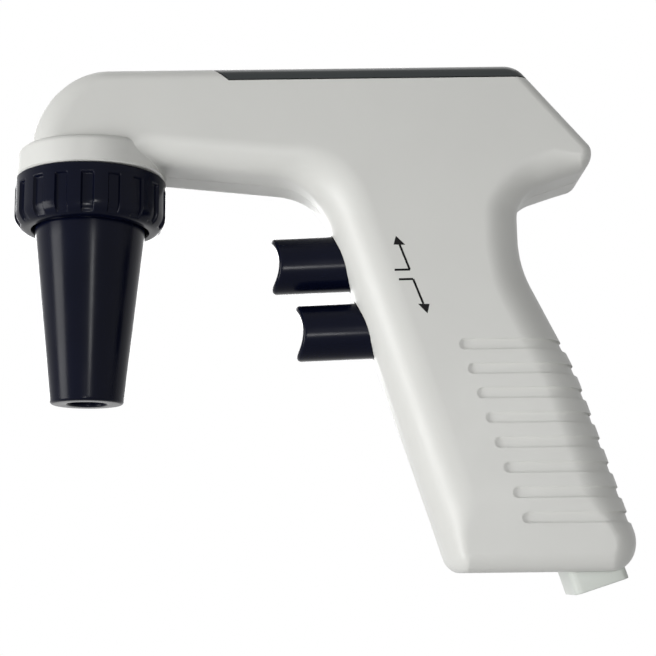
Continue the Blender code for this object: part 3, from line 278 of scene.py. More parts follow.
class Finish(Tree):
    """A material under construction, with the shader's sockets at hand."""

    def __init__(self, name, base, roughness, fixed=None):
        self.material = bpy.data.materials.new(name)
        self.material.use_nodes = True
        self.material.diffuse_color = (*base, 1.0)
        super().__init__(self.material.node_tree)
        self.shader = self.tree.nodes["Principled BSDF"]
        self.base = base
        self.roughness = roughness
        for title, value in {"Base Color": (*base, 1.0), "Roughness": roughness,
                             **(fixed or {})}.items():
            self.shader.inputs[title].default_value = value
        self.place = self.add("ShaderNodeTexCoord")["Object"]

    def noise(self, scale, detail=3.0, roughness=0.5):
        """Noise over the piece: scale is per metre."""
        return self.add("ShaderNodeTexNoise", {
            "Vector": self.place, "Scale": scale, "Detail": detail, "Roughness": roughness})

    def mottle(self, scale, amount):
        """Vary the base colour a little about its own tone."""
        mask = self.spread(self.noise(scale), NOISE_LOW, NOISE_HIGH)
        lighter = [min(1.0, tone * (1.0 + amount)) for tone in self.base]
        darker = [tone * (1.0 - amount) for tone in self.base]
        first, second, result = 6, 7, 2     # the Mix node's sockets for colours
        mixed = self.add("ShaderNodeMix", {
            "Factor": mask, first: (*darker, 1.0), second: (*lighter, 1.0)}, data_type="RGBA")
        self.link(Wire(self, mixed.socket.node.outputs[result]), "Base Color")

    def sheen(self, mask, less, more):
        """Vary the roughness about its own value by a mask."""
        self.link(self.spread(mask, NOISE_LOW, NOISE_HIGH, self.roughness - less,
                              self.roughness + more), "Roughness")

    def relief(self, height, distance, strength):
        """Raise the surface by a height mask."""
        self.link(self.add("ShaderNodeBump", {
            "Height": height, "Distance": distance, "Strength": strength}), "Normal")

    def link(self, wire, name):
        """Feed one socket of the shader."""
        self.tree.links.new(wire.socket, self.shader.inputs[name])


def moulded(name, base, roughness, grain=4200.0, depth=0.00001, mottling=0.02, fixed=None):
    """Moulded plastic: faint flow mottling, uneven sheen and a fine grain."""
    flow, sheen, waves = 38.0, 95.0, 55.0   # scales of the noise, per metre
    finish = Finish(name, base, roughness, fixed)
    finish.mottle(flow, mottling)
    finish.sheen(finish.noise(sheen, 4.0), 0.035, 0.035)
    fine = finish.noise(grain, 2.0, 0.6)
    slow = finish.noise(waves, 2.0)
    finish.relief(fine + slow * 1.6, depth, 0.35)
    return finish.material


def turned_metal(name, base, roughness, lines=2600.0):
    """Bare metal with fine machining lines."""
    finish = Finish(name, base, roughness, {"Metallic": 1.0})
    stretched = finish.add("ShaderNodeMapping", {
        "Vector": finish.place, "Scale": (lines, lines * 0.04, lines * 0.04)})
    mask = finish.add("ShaderNodeTexNoise", {"Vector": stretched, "Scale": 1.0, "Detail": 3.0})
    finish.sheen(mask, 0.06, 0.10)
    finish.relief(mask, 0.000004, 0.5)
    finish.mottle(300.0, 0.06)
    return finish.material


def circuit_board():
    """Green lacquer over fine tracks."""
    finish = Finish("lacquered_board", (0.015, 0.12, 0.050), 0.34)
    tracks = finish.add("ShaderNodeTexBrick", {
        "Vector": finish.place, "Scale": 260.0, "Mortar Size": 0.018,
        "Color1": (0.012, 0.105, 0.042, 1.0), "Color2": (0.016, 0.130, 0.055, 1.0),
        "Mortar": (0.035, 0.220, 0.095, 1.0)})
    finish.link(tracks, "Base Color")
    finish.relief(tracks["Fac"], 0.00002, 0.6)
    return finish.material


MADE = {}


def finishes():
    """Every finish by name, made once."""
    if MADE:
        return MADE
    colours = settings()[2]
    soft_gloss = {"Specular IOR Level": 0.35}
    MADE.update({
        "shell": moulded("light_shell_plastic", colours.shell, 0.40, 5200.0, 0.000012, 0.012,
                         soft_gloss),
        "dark": moulded("blue_black_plastic", colours.dark, 0.21, 6500.0, 0.000010, 0.10,
                        {"Specular IOR Level": 0.09}),
        "strip": moulded("gloss_strip_plastic", colours.strip, 0.14, 7000.0, 0.000003, 0.05,
                         {"Specular IOR Level": 0.30}),
        "pack": moulded("pale_pack_plastic", colours.pack, 0.36, 5200.0, 0.000010, 0.012,
                        soft_gloss),
        "white": moulded("white_inner_plastic", (0.74, 0.74, 0.72), 0.42),
        "black": moulded("black_inner_plastic", (0.020, 0.020, 0.022), 0.45),
        "rubber": moulded("soft_rubber", (0.022, 0.022, 0.023), 0.72, 2400.0, 0.00003, 0.12),
        "silicone": moulded("milky_silicone", (0.62, 0.61, 0.57), 0.38, 1800.0, 0.00001, 0.03,
                            {"Subsurface Weight": 0.25, "Subsurface Scale": 0.002}),
        "steel": turned_metal("plain_steel", (0.56, 0.57, 0.58), 0.26),
        "brass": turned_metal("plain_brass", (0.68, 0.50, 0.22), 0.28),
        "lamp": moulded("lamp_plastic", (0.10, 0.55, 0.20), 0.22),
        "cell": moulded("cell_sleeve", (0.05, 0.18, 0.42), 0.30, 900.0, 0.00002, 0.05),
        "board": circuit_board(),
        "ink": moulded("arrow_print", colours.ink, 0.55, 3500.0, 0.000006, 0.15,
                       {"Specular IOR Level": 0.10}),
    })
    return MADE


# Mesh helpers


def link_object(data, name):
    """Put a mesh, lamp or camera into the scene."""
    piece = bpy.data.objects.new(name, data)
    bpy.context.scene.collection.objects.link(piece)
    return piece


def from_bmesh(bm, name, matrix=None):
    """Close a bmesh into an object, faces outward."""
    if matrix is not None:
        bmesh.ops.transform(bm, matrix=matrix, verts=bm.verts)
    bmesh.ops.recalc_face_normals(bm, faces=bm.faces)
    mesh = bpy.data.meshes.new(name)
    bm.to_mesh(mesh)
    bm.free()
    return link_object(mesh, name)


def stack(bm, rings, loop=False):
    """Join rings of points in turn, then close both ends, or join them too as a loop.

    A ring of one point is a pole.
    """
    size = max(len(ring) for ring in rings)
    rows = []
    for ring in rings:
        row = [bm.verts.new(point) for point in ring]
        rows.append(row if len(row) == size else row * size)
    for a, b in zip(rows, rows[1:] + rows[:1] * loop):
        for k in range(size):
            n = (k + 1) % size
            corners = list(dict.fromkeys((a[k], a[n], b[n], b[k])))
            if len(corners) > 2:
                bm.faces.new(corners)
    for row in (rows[0], rows[-1]):
        if not loop and row[0] != row[1]:
            bm.faces.new(row)


def stacked(name, rings, matrix=None, loop=False):
    """One piece of joined rings."""
    bm = bmesh.new()
    stack(bm, rings, loop)
    return from_bmesh(bm, name, matrix)


def circle(radius, steps):
    """Points round the middle."""
    return arc(0.0, 0.0, radius, 0.0, 360.0, steps)[:-1]


def lathe(name, profile, segments, matrix=None):
    """Turn a closed profile of (radius, height) points about Z."""
    rings = [[(x, y, z) for x, y in circle(radius, segments if radius > 0.0 else 1)]
             for radius, z in profile]
    return stacked(name, rings, matrix, True)


def pipe(name, inner, outer, low, high, segments, matrix):
    """A tube along Z, or a bar where inner is 0."""
    return lathe(name, [(inner, low), (outer, low), (outer, high), (inner, high)], segments,
                 matrix)


def prism(name, points, low, high):
    """An outline in X and Z, drawn out along Y."""
    return stacked(name, [[(x, y, z) for x, z in points] for y in (low, high)])


def block(name, low, high):
    """A box between two corners."""
    return prism(name, [(low[0], low[2]), (high[0], low[2]), (high[0], high[2]),
                        (low[0], high[2])], low[1], high[1])


def upright(name, sections, matrix=None):
    """Stack closed sections along Z: each is (points, z)."""
    return stacked(name, [[(x, y, z) for x, y in points] for points, z in sections], matrix)


def arc(x, y, radius, first, last, steps):
    """Points round a centre, from one angle in degrees to another."""
    bends = [math.radians(first + (last - first) * s / steps) for s in range(steps + 1)]
    return [(x + radius * math.cos(bend), y + radius * math.sin(bend)) for bend in bends]


def rounded_rectangle(depth, width, radius):
    """Points of a rectangle with round corners, in X and Y."""
    points = []
    for sx, sy, first in ((1, 1, 0.0), (-1, 1, 90.0), (-1, -1, 180.0), (1, -1, 270.0)):
        points += arc(sx * (depth / 2.0 - radius), sy * (width / 2.0 - radius), radius,
                      first, first + 90.0, 8)
    return points


def applied(piece):
    """Turn a piece and its modifiers into one plain mesh."""
    graph = bpy.context.evaluated_depsgraph_get()
    graph.update()
    mesh = bpy.data.meshes.new_from_object(piece.evaluated_get(graph))
    piece.modifiers.clear()
    piece.data = mesh
    return piece


def cut(target, cutter, operation="DIFFERENCE"):
    """Apply an exact Boolean to target and take the cutter away."""
    modifier = target.modifiers.new("cut", "BOOLEAN")
    modifier.operation = operation
    modifier.solver = "EXACT"
    modifier.object = cutter
    applied(target)
    bpy.data.objects.remove(cutter, do_unlink=True)
    bm = bmesh.new()
    bm.from_mesh(target.data)
    bmesh.ops.remove_doubles(bm, verts=bm.verts, dist=1e-6)
    bm.to_mesh(target.data)
    bm.free()
    return target


def keep_inside(piece, nodes):
    """Hold a piece within the box of the solids that it stands for."""
    if nodes[0] == "housing_left":  # it laps over the middle, where the right shell begins
        nodes = ("housing_left", "housing_right")
    boxes = [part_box(node) for node in nodes]
    low = [min(box[0][i] for box in boxes) for i in range(3)]
    high = [max(box[1][i] for box in boxes) for i in range(3)]
    for vert in piece.data.vertices:
        vert.co = [min(max(vert.co[i], low[i]), high[i]) for i in range(3)]


def dress(piece, finish, body, nodes=(), sharp=30.0, even=False):
    """Smooth a piece, give it a finish and tie it to its body and the nodes it stands for."""
    mesh = piece.data
    mesh.name = piece.name
    mesh.materials.clear()
    mesh.materials.append(finishes()[finish])
    for face in mesh.polygons:
        face.use_smooth = True
        face.material_index = 0
    mesh.set_sharp_from_angle(angle=math.radians(sharp))
    if even:
        piece.modifiers.new("even_shading", "WEIGHTED_NORMAL").keep_sharp = True
    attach(piece, body)
    if nodes:
        keep_inside(piece, nodes)
        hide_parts(*nodes)


# The housing's own rule, as in the solids, with finer steps


def housing_corners(housing):
    """Corners of the outline: x, z, corner radius, edge rounding of the side after it."""
    tail_slope, web_slope, knee_slope = 0.8405, 0.335, 0.484
    nose_front = NOSE_X - housing.nose_reach
    nose_low = JOINT_Z - 0.0100
    under_x = NOSE_X + housing.boss_radius
    under_back = 0.0040
    under_low = under_x - under_back
    root_z = 0.06147
    root_x = FRONT_X - FRONT_LEAN * (root_z - housing.foot)
    under_rise = (JOINT_Z + UNDER_STEP - root_z) / (root_x - under_x)
    knee_z = 0.0097
    knee_x = BACK_X - BACK_LEAN * (knee_z - housing.foot)
    rear_x = 0.0090
    tail_z = 0.0647
    tail_x = rear_x + tail_slope * (housing.top - tail_z)
    web_top = tail_z - web_slope * (tail_x - rear_x)
    web_low = knee_z + (knee_x - rear_x) / knee_slope
    return [
        (nose_front, nose_low, 0.0040, 0.0090),
        (nose_front, housing.top, housing.nose_round, 0.0035),
        (rear_x, housing.top, 0.0070, 0.0030),
        (tail_x, tail_z, 0.0040, 0.0075),
        (rear_x, web_top, 0.0090, 0.0100),
        (rear_x, web_low, 0.0300, 0.0110),
        (knee_x, knee_z, 0.0600, 0.0110),
        (BACK_X, housing.foot, 0.0080, 0.0050),
        (FRONT_X, housing.foot, 0.0056, 0.0120),
        (root_x, root_z, 0.0175, 0.0075),
        (under_low, JOINT_Z + UNDER_STEP + under_back * under_rise, 0.0015, 0.0060),
        (under_low, nose_low, 0.0040, 0.0036),
    ]


def corner_sides(corners, k):
    """A corner, the directions of the sides before and after it, and the turn between them."""
    here = Vector(corners[k][:2])
    before = (here - Vector(corners[k - 1][:2])).normalized()
    after = (Vector(corners[(k + 1) % len(corners)][:2]) - here).normalized()
    turn = math.atan2(before.x * after.y - before.y * after.x, before.dot(after))
    return here, before, after, turn


def offset_corners(corners, depth):
    """The same outline moved inward by depth."""
    least_radius, least_edge = 0.0010, 0.0006
    moved = []
    for k, (*_, radius, edge) in enumerate(corners):
        here, before, after, turn = corner_sides(corners, k)
        first = Vector((before.y, -before.x))
        second = Vector((after.y, -after.x))
        here += (first + second) * (depth / (1.0 + first.dot(second)))
        new_radius = radius - depth if turn < 0.0 else radius + depth
        moved.append((here.x, here.y, max(new_radius, min(radius, least_radius)),
                      max(edge - depth, least_edge)))
    return moved


def ease(t):
    """Smooth step from 0 to 1."""
    t = min(max(t, 0.0), 1.0)
    return t * t * (3.0 - 2.0 * t)


def rotated(way, turn):
    """A direction in the outline's plane, turned."""
    ca, sa = math.cos(turn), math.sin(turn)
    return Vector((way.x * ca - way.y * sa, way.x * sa + way.y * ca))


def outline(corners, arc_step, span_step):
    """Points of the outline, each with its inward normal and its rounding inward and sideways.

    Inward, the rounding stays under the radius of a corner that it runs round.
    """
    fullest, shortest_side, longest_blend, blend_share = 0.93, 0.0008, 0.014, 0.45
    arcs = []
    for k, (_, _, radius, _) in enumerate(corners):
        here, before, after, turn = corner_sides(corners, k)
        reach = radius * math.tan(abs(turn) / 2.0)
        start = here - before * reach
        centre = start + Vector((-before.y, before.x)) * radius * (1.0 if turn > 0.0 else -1.0)
        limit = radius * fullest if turn < 0.0 else 1.0
        arcs.append((start, here + after * reach, centre, before, after, turn, limit))
    result = []
    for k, (start, end, centre, before, after, turn, limit) in enumerate(arcs):
        edge_in, edge_out = corners[k - 1][3], corners[k][3]
        first, last = min(edge_in, limit), min(edge_out, limit)
        steps = max(2, math.ceil(abs(turn) / arc_step))
        for s in range(steps + 1):
            point = centre + rotated(start - centre, turn * s / steps)
            way = rotated(before, turn * s / steps)
            edge = first + (last - first) * ease((s / steps) ** 2)
            deep = edge_in + (edge_out - edge_in) * ease(s / steps)
            result.append((point, Vector((way.y, -way.x)), edge, deep))
        next_start, next_limit = arcs[(k + 1) % len(arcs)][0], arcs[(k + 1) % len(arcs)][-1]
        span = next_start - end
        if span.length < shortest_side:
            continue
        next_edge = min(edge_out, next_limit)
        blend = min(longest_blend, blend_share * span.length)
        inward = Vector((after.y, -after.x))
        marks = max(2, int(span.length / span_step))
        for m in range(1, marks):
            mark = span.length * m / marks
            edge = last + (edge_out - last) * ease(mark / blend)
            edge += (next_edge - edge_out) * (1.0 - ease((span.length - mark) / blend))
            result.append((end + span * (m / marks), inward, edge, edge_out))
    return result


def housing_solid(name, housing, depth=0.0, arc_step=math.radians(4.0), edge_steps=9,
                  span_step=0.004):
    """The whole housing as one solid, moved inward by depth and cut flat under the nose."""
    corners = housing_corners(housing)
    if depth > 0.0:
        corners = offset_corners(corners, depth)
    half = housing.width / 2.0 - depth
    points = outline(corners, arc_step, span_step)
    levels = ([(-1.0, level) for level in range(edge_steps, -1, -1)]
              + [(1.0, level) for level in range(edge_steps + 1)])
    rings = []
    for side, level in levels:
        bend = 0.5 * math.pi * level / edge_steps
        ring = []
        for point, inward, edge, deep in points:
            inset = edge * (1.0 - math.cos(bend))
            ring.append((point.x + inward.x * inset, side * (half - deep * (1.0 - math.sin(bend))),
                         point.y + inward.y * inset))
        rings.append(ring)
    below = block("below", (NOSE_X - SLEEVE, -SLEEVE, JOINT_Z - SLEEVE),
                  (NOSE_X + housing.boss_radius - 0.0015, SLEEVE, JOINT_Z + 0.0002 + depth))
    return cut(stacked(name, rings), below)


def boss_outline(housing, inset):
    """Plan of the boss, moved inward: a circle drawn out along the arm's sides."""
    fully_drawn = math.radians(50.0)
    half = arc(0.0, 0.0, housing.boss_radius - inset, -90.0, 90.0, 120)
    rear = [(x + housing.boss_drawn * ease(abs(math.atan2(y, x)) / fully_drawn), y)
            for x, y in half]
    return rear + [(-x, -y) for x, y in half]


def groove_bands(housing, width, depth):
    """Cutter for the grooves, its bands repeated by geometry nodes."""
    half, reach = width / 2.0, 0.06
    band = prism("band", [(reach, -half), (reach, half)]
                 + arc(half, 0.0, half, 90.0, 270.0, 12), -SLEEVE, SLEEVE)
    tree = ShapeTree("groove_bands", Count="Int", Step="Vector", Start="Vector", Band="Object",
                     Material="Material")
    line = tree.add("GeometryNodeMeshLine", {
        "Count": tree.entry["Count"], "Start Location": tree.entry["Start"],
        "Offset": tree.entry["Step"]})
    tree.close(tree.add("GeometryNodeInstanceOnPoints", {
        "Points": line, "Instance": shape_of(tree, "Band")}))
    cutter = link_object(bpy.data.meshes.new("bands"), "bands")
    tree.run(cutter, Count=housing.grooves, Step=(GROOVE_SHIFT, 0.0, -housing.groove_pitch),
             Start=GROOVE_START, Band=band, Material=finishes()["shell"])
    bpy.data.objects.remove(band, do_unlink=True)
    return cut(cutter, housing_solid("core", housing, depth))


def shape_of(tree, name):
    """The shape of an object that comes in by a named input."""
    return tree.add("GeometryNodeObjectInfo", {"Object": tree.entry[name]},
                    transform_space="ORIGINAL")["Geometry"]


def trigger_frames():
    """Frame of each trigger: local X runs back into the grip from the scoop."""
    frames = []
    for k, (_, reach, *_) in enumerate(TRIGGERS):
        z = TRIGGER_Z - k * TRIGGER_SPACING / math.cos(TRIGGER_TILT)
        x = FRONT_X - FRONT_LEAN * (z - FOOT_Z)
        spot = (x - reach * math.cos(TRIGGER_TILT), 0.0, z - reach * math.sin(TRIGGER_TILT))
        frames.append(Matrix.Translation(spot) @ Matrix.Rotation(-TRIGGER_TILT, 4, "Y"))
    return frames


def screw_places():
    """Place of each housing screw's axis, from its solid."""
    places = []
    for name in SCREWS:
        low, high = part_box(name)
        places.append(((low.x + high.x) / 2.0, 0.0, (low.z + high.z) / 2.0))
    return places


def pack_frame():
    """Frame of the battery pack: local Z runs up the grip, the origin is at its foot."""
    lean = math.atan(BACK_LEAN)
    up = Vector((-math.sin(lean), 0.0, math.cos(lean)))
    inward = Vector((-math.cos(lean), 0.0, -math.sin(lean)))
    foot = Vector((BACK_X, 0.0, FOOT_Z)) + inward * (PACK_INSET + PACK_DEPTH / 2.0)
    foot += up * ((FOOT_Z - PACK_SHOWN * up.z - foot.z) / up.z)
    return Matrix.Translation(foot) @ Matrix.Rotation(-lean, 4, "Y")


def strip_region(name, gap, top):
    """The space of the cover strip, grown by gap."""
    above, rear = 0.006, 0.03
    foot, high = top - STRIP_SIDE - gap, top + above
    lean = STRIP_SLANT / STRIP_SIDE
    front = STRIP_FRONT - gap * math.sqrt(1.0 + lean * lean)
    return prism(name, [(front + STRIP_SLANT + lean * gap, foot), (rear, foot), (rear, high),
                        (front - lean * above, high)], -SLEEVE, SLEEVE)


# Operators


class PIPETTE_OT_housing(bpy.types.Operator):
    """Half shells with the round boss, grooves, openings and screw wells"""

    bl_idname = "pipette.housing"
    bl_label = "Housing"

    def execute(self, context):
        housing = settings()[0]
        soft_walls = ((1.12, 0.35), (1.0, 0.75), (0.82, 1.0))   # shares of width and depth
        seam_depth, left_end, right_end = 0.0009, 0.00014, 0.00015
        whole = housing_solid("whole", housing)
        cut(whole, self.boss(housing), "UNION")
        cut(whole, housing_solid("hollow", housing, housing.wall, math.radians(22.0), 3, 0.02))
        self.openings(whole, housing)
        for width, depth in soft_walls:
            cut(whole, groove_bands(housing, housing.groove_width * width,
                                    housing.groove_depth * depth))
        cut(whole, cut(self.slice(-0.00016, 0.00016),
                       housing_solid("core", housing, seam_depth)))
        for name, low, high in (("left", -SLEEVE, left_end), ("right", right_end, SLEEVE)):
            half = link_object(whole.data.copy(), "shell_" + name)
            cut(half, self.slice(low, high), "INTERSECT")
            if name == "right":
                self.screw_wells(half, housing)
            dress(half, "shell", "housing", ["housing_" + name], 28.0, True)
        bpy.data.objects.remove(whole, do_unlink=True)
        return {"FINISHED"}

    def slice(self, low, high):
        """A slab from one place along Y to another, past everything else."""
        return block("slice", (-PAST_ENDS, low, -PAST_ENDS), (PAST_ENDS, high, PAST_ENDS))

    def boss(self, housing):
        """The round boss over the collar, its upper rim rounded."""
        rim, foot = housing.boss_round, 0.0004
        sections = [(boss_outline(housing, foot), JOINT_Z),
                    (boss_outline(housing, 0.0), JOINT_Z + foot)]
        sections += [(boss_outline(housing, inset), z) for inset, z in
                     arc(rim, JOINT_Z + housing.boss_height - rim, rim, 180.0, 90.0, 6)]
        return upright("boss", sections, AT_NOSE)

    def openings(self, whole, housing):
        """Cut the nose's well, the trigger holes, the pack's slot and the strip's seat."""
        # Radius, and heights over the joint that it runs from and to
        steps = ((SOCKET_HOLE, -0.0040, 0.0012), (RING_GROOVE, 0.0012, 0.0038),
                 (SOCKET_HEAD, 0.0038, 0.0078))
        walls = [(radius, JOINT_Z + z) for radius, low, high in steps for z in (low, high)]
        cut(whole, lathe("well", [(0.0, walls[0][1])] + walls + [(0.0, walls[-1][1])], 72,
                         AT_NOSE @ Matrix.Rotation(0.013, 4, "Z")))
        for spot in trigger_frames():
            cut(whole, pipe("hole", 0.0, TRIGGER_HOLE, 0.004, 0.03, 72, spot @ ALONG_X))
        slot = rounded_rectangle(PACK_DEPTH + 2 * GAP, PACK_WIDTH + 2 * GAP, 0.0023)
        cut(whole, upright("slot", [(slot, -0.003), (slot, 0.018)], pack_frame()))
        cut(whole, strip_region("strip", GAP, housing.top))

    def screw_wells(self, half, housing):
        """Add the screws' tubes, trimmed to the rounded outside, and sink their heads."""
        for place in screw_places():
            across = Matrix.Translation(place) @ ALONG_Y
            tube_foot, head_seat, end = 0.0030, 0.0075, housing.width / 2.0 - 0.0010
            wellhead = pipe("wellhead", 0.0, SCREW_WELL, head_seat, 0.0200, 40, across)
            tube = pipe("tube", SCREW_BORE, SCREW_TUBE, tube_foot, end, 40, across)
            cut(tube, housing_solid("core", housing, 0.0004), "INTERSECT")
            cut(half, tube, "UNION")
            cut(half, wellhead)


class PIPETTE_OT_strip(bpy.types.Operator):
    """Glossy strip on top of the arm"""

    bl_idname = "pipette.strip"
    bl_label = "Top strip"

    def execute(self, context):
        housing = settings()[0]
        wall, pocket_front, pocket_rear = 0.0015, STRIP_FRONT + 0.0056, 0.0038
        inner = housing.width / 2.0 - wall
        strip = housing_solid("top_strip", housing, 0.0, math.radians(3.0), 14)
        cut(strip, strip_region("region", 0.0, housing.top), "INTERSECT")
        cut(strip, block("pocket", (pocket_front, -inner, housing.top - 0.005),
                         (pocket_rear, inner, housing.top - wall)))
        dress(strip, "strip", "housing", ["top_cover"], 28.0, True)
        return {"FINISHED"}


class PIPETTE_OT_collar(bpy.types.Operator):
    """Fluted collar, its flutes pressed into a turned ring by geometry nodes"""

    bl_idname = "pipette.collar"
    bl_label = "Collar"

    def execute(self, context):
        nose = settings()[1]
        radius = min(COLLAR_HIGH.x - COLLAR_LOW.x, COLLAR_HIGH.y - COLLAR_LOW.y) / 2.0
        ring = lathe("fluted_collar", self.profile(radius), nose.flutes * 32)
        self.flutes().run(
            ring, Flutes=nose.flutes, Share=nose.flute_share, Depth=nose.flute_depth,
            Turn=nose.flute_turn, Top=COLLAR_HIGH.z - nose.collar_band,
            Low=COLLAR_LOW.z + 0.0004, Radius=radius, Material=finishes()["dark"])
        ring.data.transform(AT_NOSE)
        dress(ring, "dark", "collar", ["collar"], 40.0)
        return {"FINISHED"}

    def profile(self, radius):
        """Section of the plain ring: its side in many steps, a round foot and a lip inside."""
        top, low = COLLAR_HIGH.z, COLLAR_LOW.z
        bore, lip, lip_top, rim = 0.0167, 0.0153, low + 0.0039, 0.0003
        round_in, round_up = 0.0034, 0.0040
        profile = [(bore, top), (radius - rim, top)]
        profile += arc(radius - rim, top - rim, rim, 61.35, 26.97, 1)
        side = top - rim - (low + round_up)
        profile += [(radius, top - rim - side * s / 60) for s in range(61)]
        profile += [(radius - round_in * (1.0 - x), low + round_up * (1.0 - y))
                    for x, y in arc(0.0, 0.0, 1.0, 7.5, 90.0, 11)]
        return profile + [(0.0160, low), (lip, low + 0.0015), (lip, lip_top), (bore, lip_top)]

    def flutes(self):
        """Tree that presses the flutes in between two heights."""
        tree = ShapeTree("collar_flutes", Geometry="Geometry", Flutes="Int", Share="Float",
                         Depth="Float", Turn="Float", Top="Float", Low="Float", Radius="Float",
                         Material="Material")
        entry = tree.entry
        parts = tree.add("ShaderNodeSeparateXYZ", {0: tree.add("GeometryNodeInputPosition")})
        turned = parts.maths("ARCTAN2", parts["Y"], parts["X"]) - entry["Turn"]
        turns = turned * entry["Flutes"] / (2.0 * math.pi)
        within = turns.maths("FRACT", turns)
        reach = tree.from_axis(parts)

        def step(value, low, high):
            return tree.spread(value, low, high, way="SMOOTHSTEP")

        edge, upper_fade, lower_fade = 0.035, 0.0007, 0.0012
        sideways = step(within, 0.0, edge) * (1.0 - step(within, entry["Share"] - edge,
                                                         entry["Share"]))
        upper = 1.0 - step(parts["Z"], entry["Top"] - upper_fade, entry["Top"])
        lower = step(parts["Z"], entry["Low"], entry["Low"] + lower_fade)
        outside = step(reach, entry["Radius"] - 0.0030, entry["Radius"] - 0.0012)
        press = sideways * upper * lower * outside * entry["Depth"]
        outward = tree.add("ShaderNodeCombineXYZ", {
            "X": parts["X"] / reach, "Y": parts["Y"] / reach})
        offset = tree.add("ShaderNodeVectorMath", {0: outward, "Scale": 0.0 - press},
                          operation="SCALE")
        tree.close(tree.add("GeometryNodeSetPosition", {
            "Geometry": entry["Geometry"], "Offset": offset}))
        return tree


class PIPETTE_OT_cone(bpy.types.Operator):
    """Nose cone with its rounded rim and mouth"""

    bl_idname = "pipette.cone"
    bl_label = "Nose cone"

    def execute(self, context):
        nose = settings()[1]
        tip, bottom = CONE_LOW.z, COLLAR_LOW.z
        top_radius, wall, rim, lip = 0.0149, 0.0020, 0.0009, 0.0005
        slope = (top_radius - nose.tip_radius) / (bottom - tip - 0.0010)
        flange, flange_top = CONE_HIGH.x - NOSE_X, CONE_HIGH.z
        flange_low = flange_top - 0.0013
        inner_low = tip + 0.0022
        wall_low = tip + 0.0016

        def outer(z):
            return top_radius - (bottom - z) * slope

        heights = [wall_low + (bottom - wall_low) * s / 12 for s in range(13)]
        # Up from the mouth's edge, round the rim, up the outside, and down the inside
        profile = arc(nose.mouth_radius + lip, tip + lip, lip, 180.0, 270.0, 4)
        profile += arc(nose.tip_radius - rim, tip + rim, rim, -90.0, 0.0, 6)
        profile += [(outer(z), z) for z in heights]
        profile += [(top_radius, flange_low), (flange, flange_low), (flange, flange_top),
                    (top_radius - wall, flange_top), (top_radius - wall, bottom),
                    (outer(inner_low) - wall, inner_low), (nose.mouth_radius, inner_low)]
        dress(lathe("tapered_cone", profile, 128, AT_NOSE), "dark", "nose", ["nose_cone"], 35.0)
        return {"FINISHED"}


class PIPETTE_OT_triggers(bpy.types.Operator):
    """The two round triggers with their scooped fronts and rounded lips"""

    bl_idname = "pipette.triggers"
    bl_label = "Triggers"

    def execute(self, context):
        radius, wide = TRIGGER_RADIUS, TRIGGER_RADIUS + 0.0014
        bore, bore_depth = 0.0028, 0.0045
        for (name, reach, depth, setback), spot in zip(TRIGGERS, trigger_frames()):
            flange = reach + 0.0038 + FRONT_LEAN * wide
            back = flange + 0.0015
            plain = [(radius, 0.0060), (radius, flange - 0.0002), (radius + 0.0002, flange),
                     (wide - 0.0001, flange), (wide, flange + 0.0001), (wide, back - 0.0001),
                     (wide - 0.0001, back), (bore, back), (bore, back - bore_depth)]
            rings = self.front(radius, depth, setback, 0.0012)
            rings += [(r, lambda v, x=x: x) for r, x in plain]
            button = self.turned(name + "_button", rings, spot)
            dress(button, "dark", name + "_button", [name + "_trigger"], 40.0, True)
        return {"FINISHED"}

    def front(self, radius, depth, setback, lip):
        """Rings of the hollow front, from its middle out and round the lip."""
        bow = (radius * radius + depth * depth) / (2.0 * depth)
        flat = radius - lip

        def scoop(v):
            return bow * math.cos(math.asin(v / bow)) - bow + setback

        rings = [(flat * k / 12, scoop) for k in range(1, 13)]
        for k in range(1, 9):
            bend = 0.5 * math.pi * k / 8
            spread = 1.0 + lip * math.sin(bend) / flat
            fall = lip * (1.0 - math.cos(bend))
            rings.append((flat * spread,
                          lambda v, spread=spread, fall=fall: scoop(v / spread) + fall))
        return rings

    def turned(self, name, rings, spot):
        """Close rings of (radius, place as a function of height) about local X."""
        rows = [[(place(z), y, z) for y, z in circle(radius, 96)] for radius, place in rings]
        first, last = ([(place(0.0), 0.0, 0.0)] for radius, place in (rings[0], rings[-1]))
        return stacked(name, [first] + rows + [last], spot)


class PIPETTE_OT_springs(bpy.types.Operator):
    """Return springs of the triggers, coiled by geometry nodes"""

    bl_idname = "pipette.springs"
    bl_label = "Springs"

    def execute(self, context):
        tree = ShapeTree("coil_spring", Turns="Float", Length="Float", Radius="Float",
                         Wire="Float", Material="Material")
        coil = tree.add("GeometryNodeCurveSpiral", {
            "Resolution": 28, "Rotations": tree.entry["Turns"],
            "Start Radius": tree.entry["Radius"], "End Radius": tree.entry["Radius"],
            "Height": tree.entry["Length"]})
        ring = tree.add("GeometryNodeCurvePrimitiveCircle", {
            "Resolution": 10, "Radius": tree.entry["Wire"]})
        tree.close(tree.add("GeometryNodeCurveToMesh", {
            "Curve": coil, "Profile Curve": ring, "Fill Caps": True}))
        turns, radius, wire = 5.0, 0.0042, 0.0004
        end = 1.2 * wire
        for (name, *_), spot in zip(TRIGGERS, trigger_frames()):
            low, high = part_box(name + "_spring")
            spring = link_object(bpy.data.meshes.new(name + "_coil"), name + "_coil")
            tree.run(spring, Turns=turns, Length=high.x - low.x - 2.0 * end, Radius=radius,
                     Wire=wire, Material=finishes()["steel"])
            front = spot.inverted() @ Vector((low.x, 0.0, (low.z + high.z) / 2.0))
            place = Matrix.Translation((front.x + end, 0.0, 0.0))
            spring.data.transform(spot @ place @ ALONG_X)
            dress(spring, "steel", name + "_button", [name + "_spring"], 60.0)
        return {"FINISHED"}


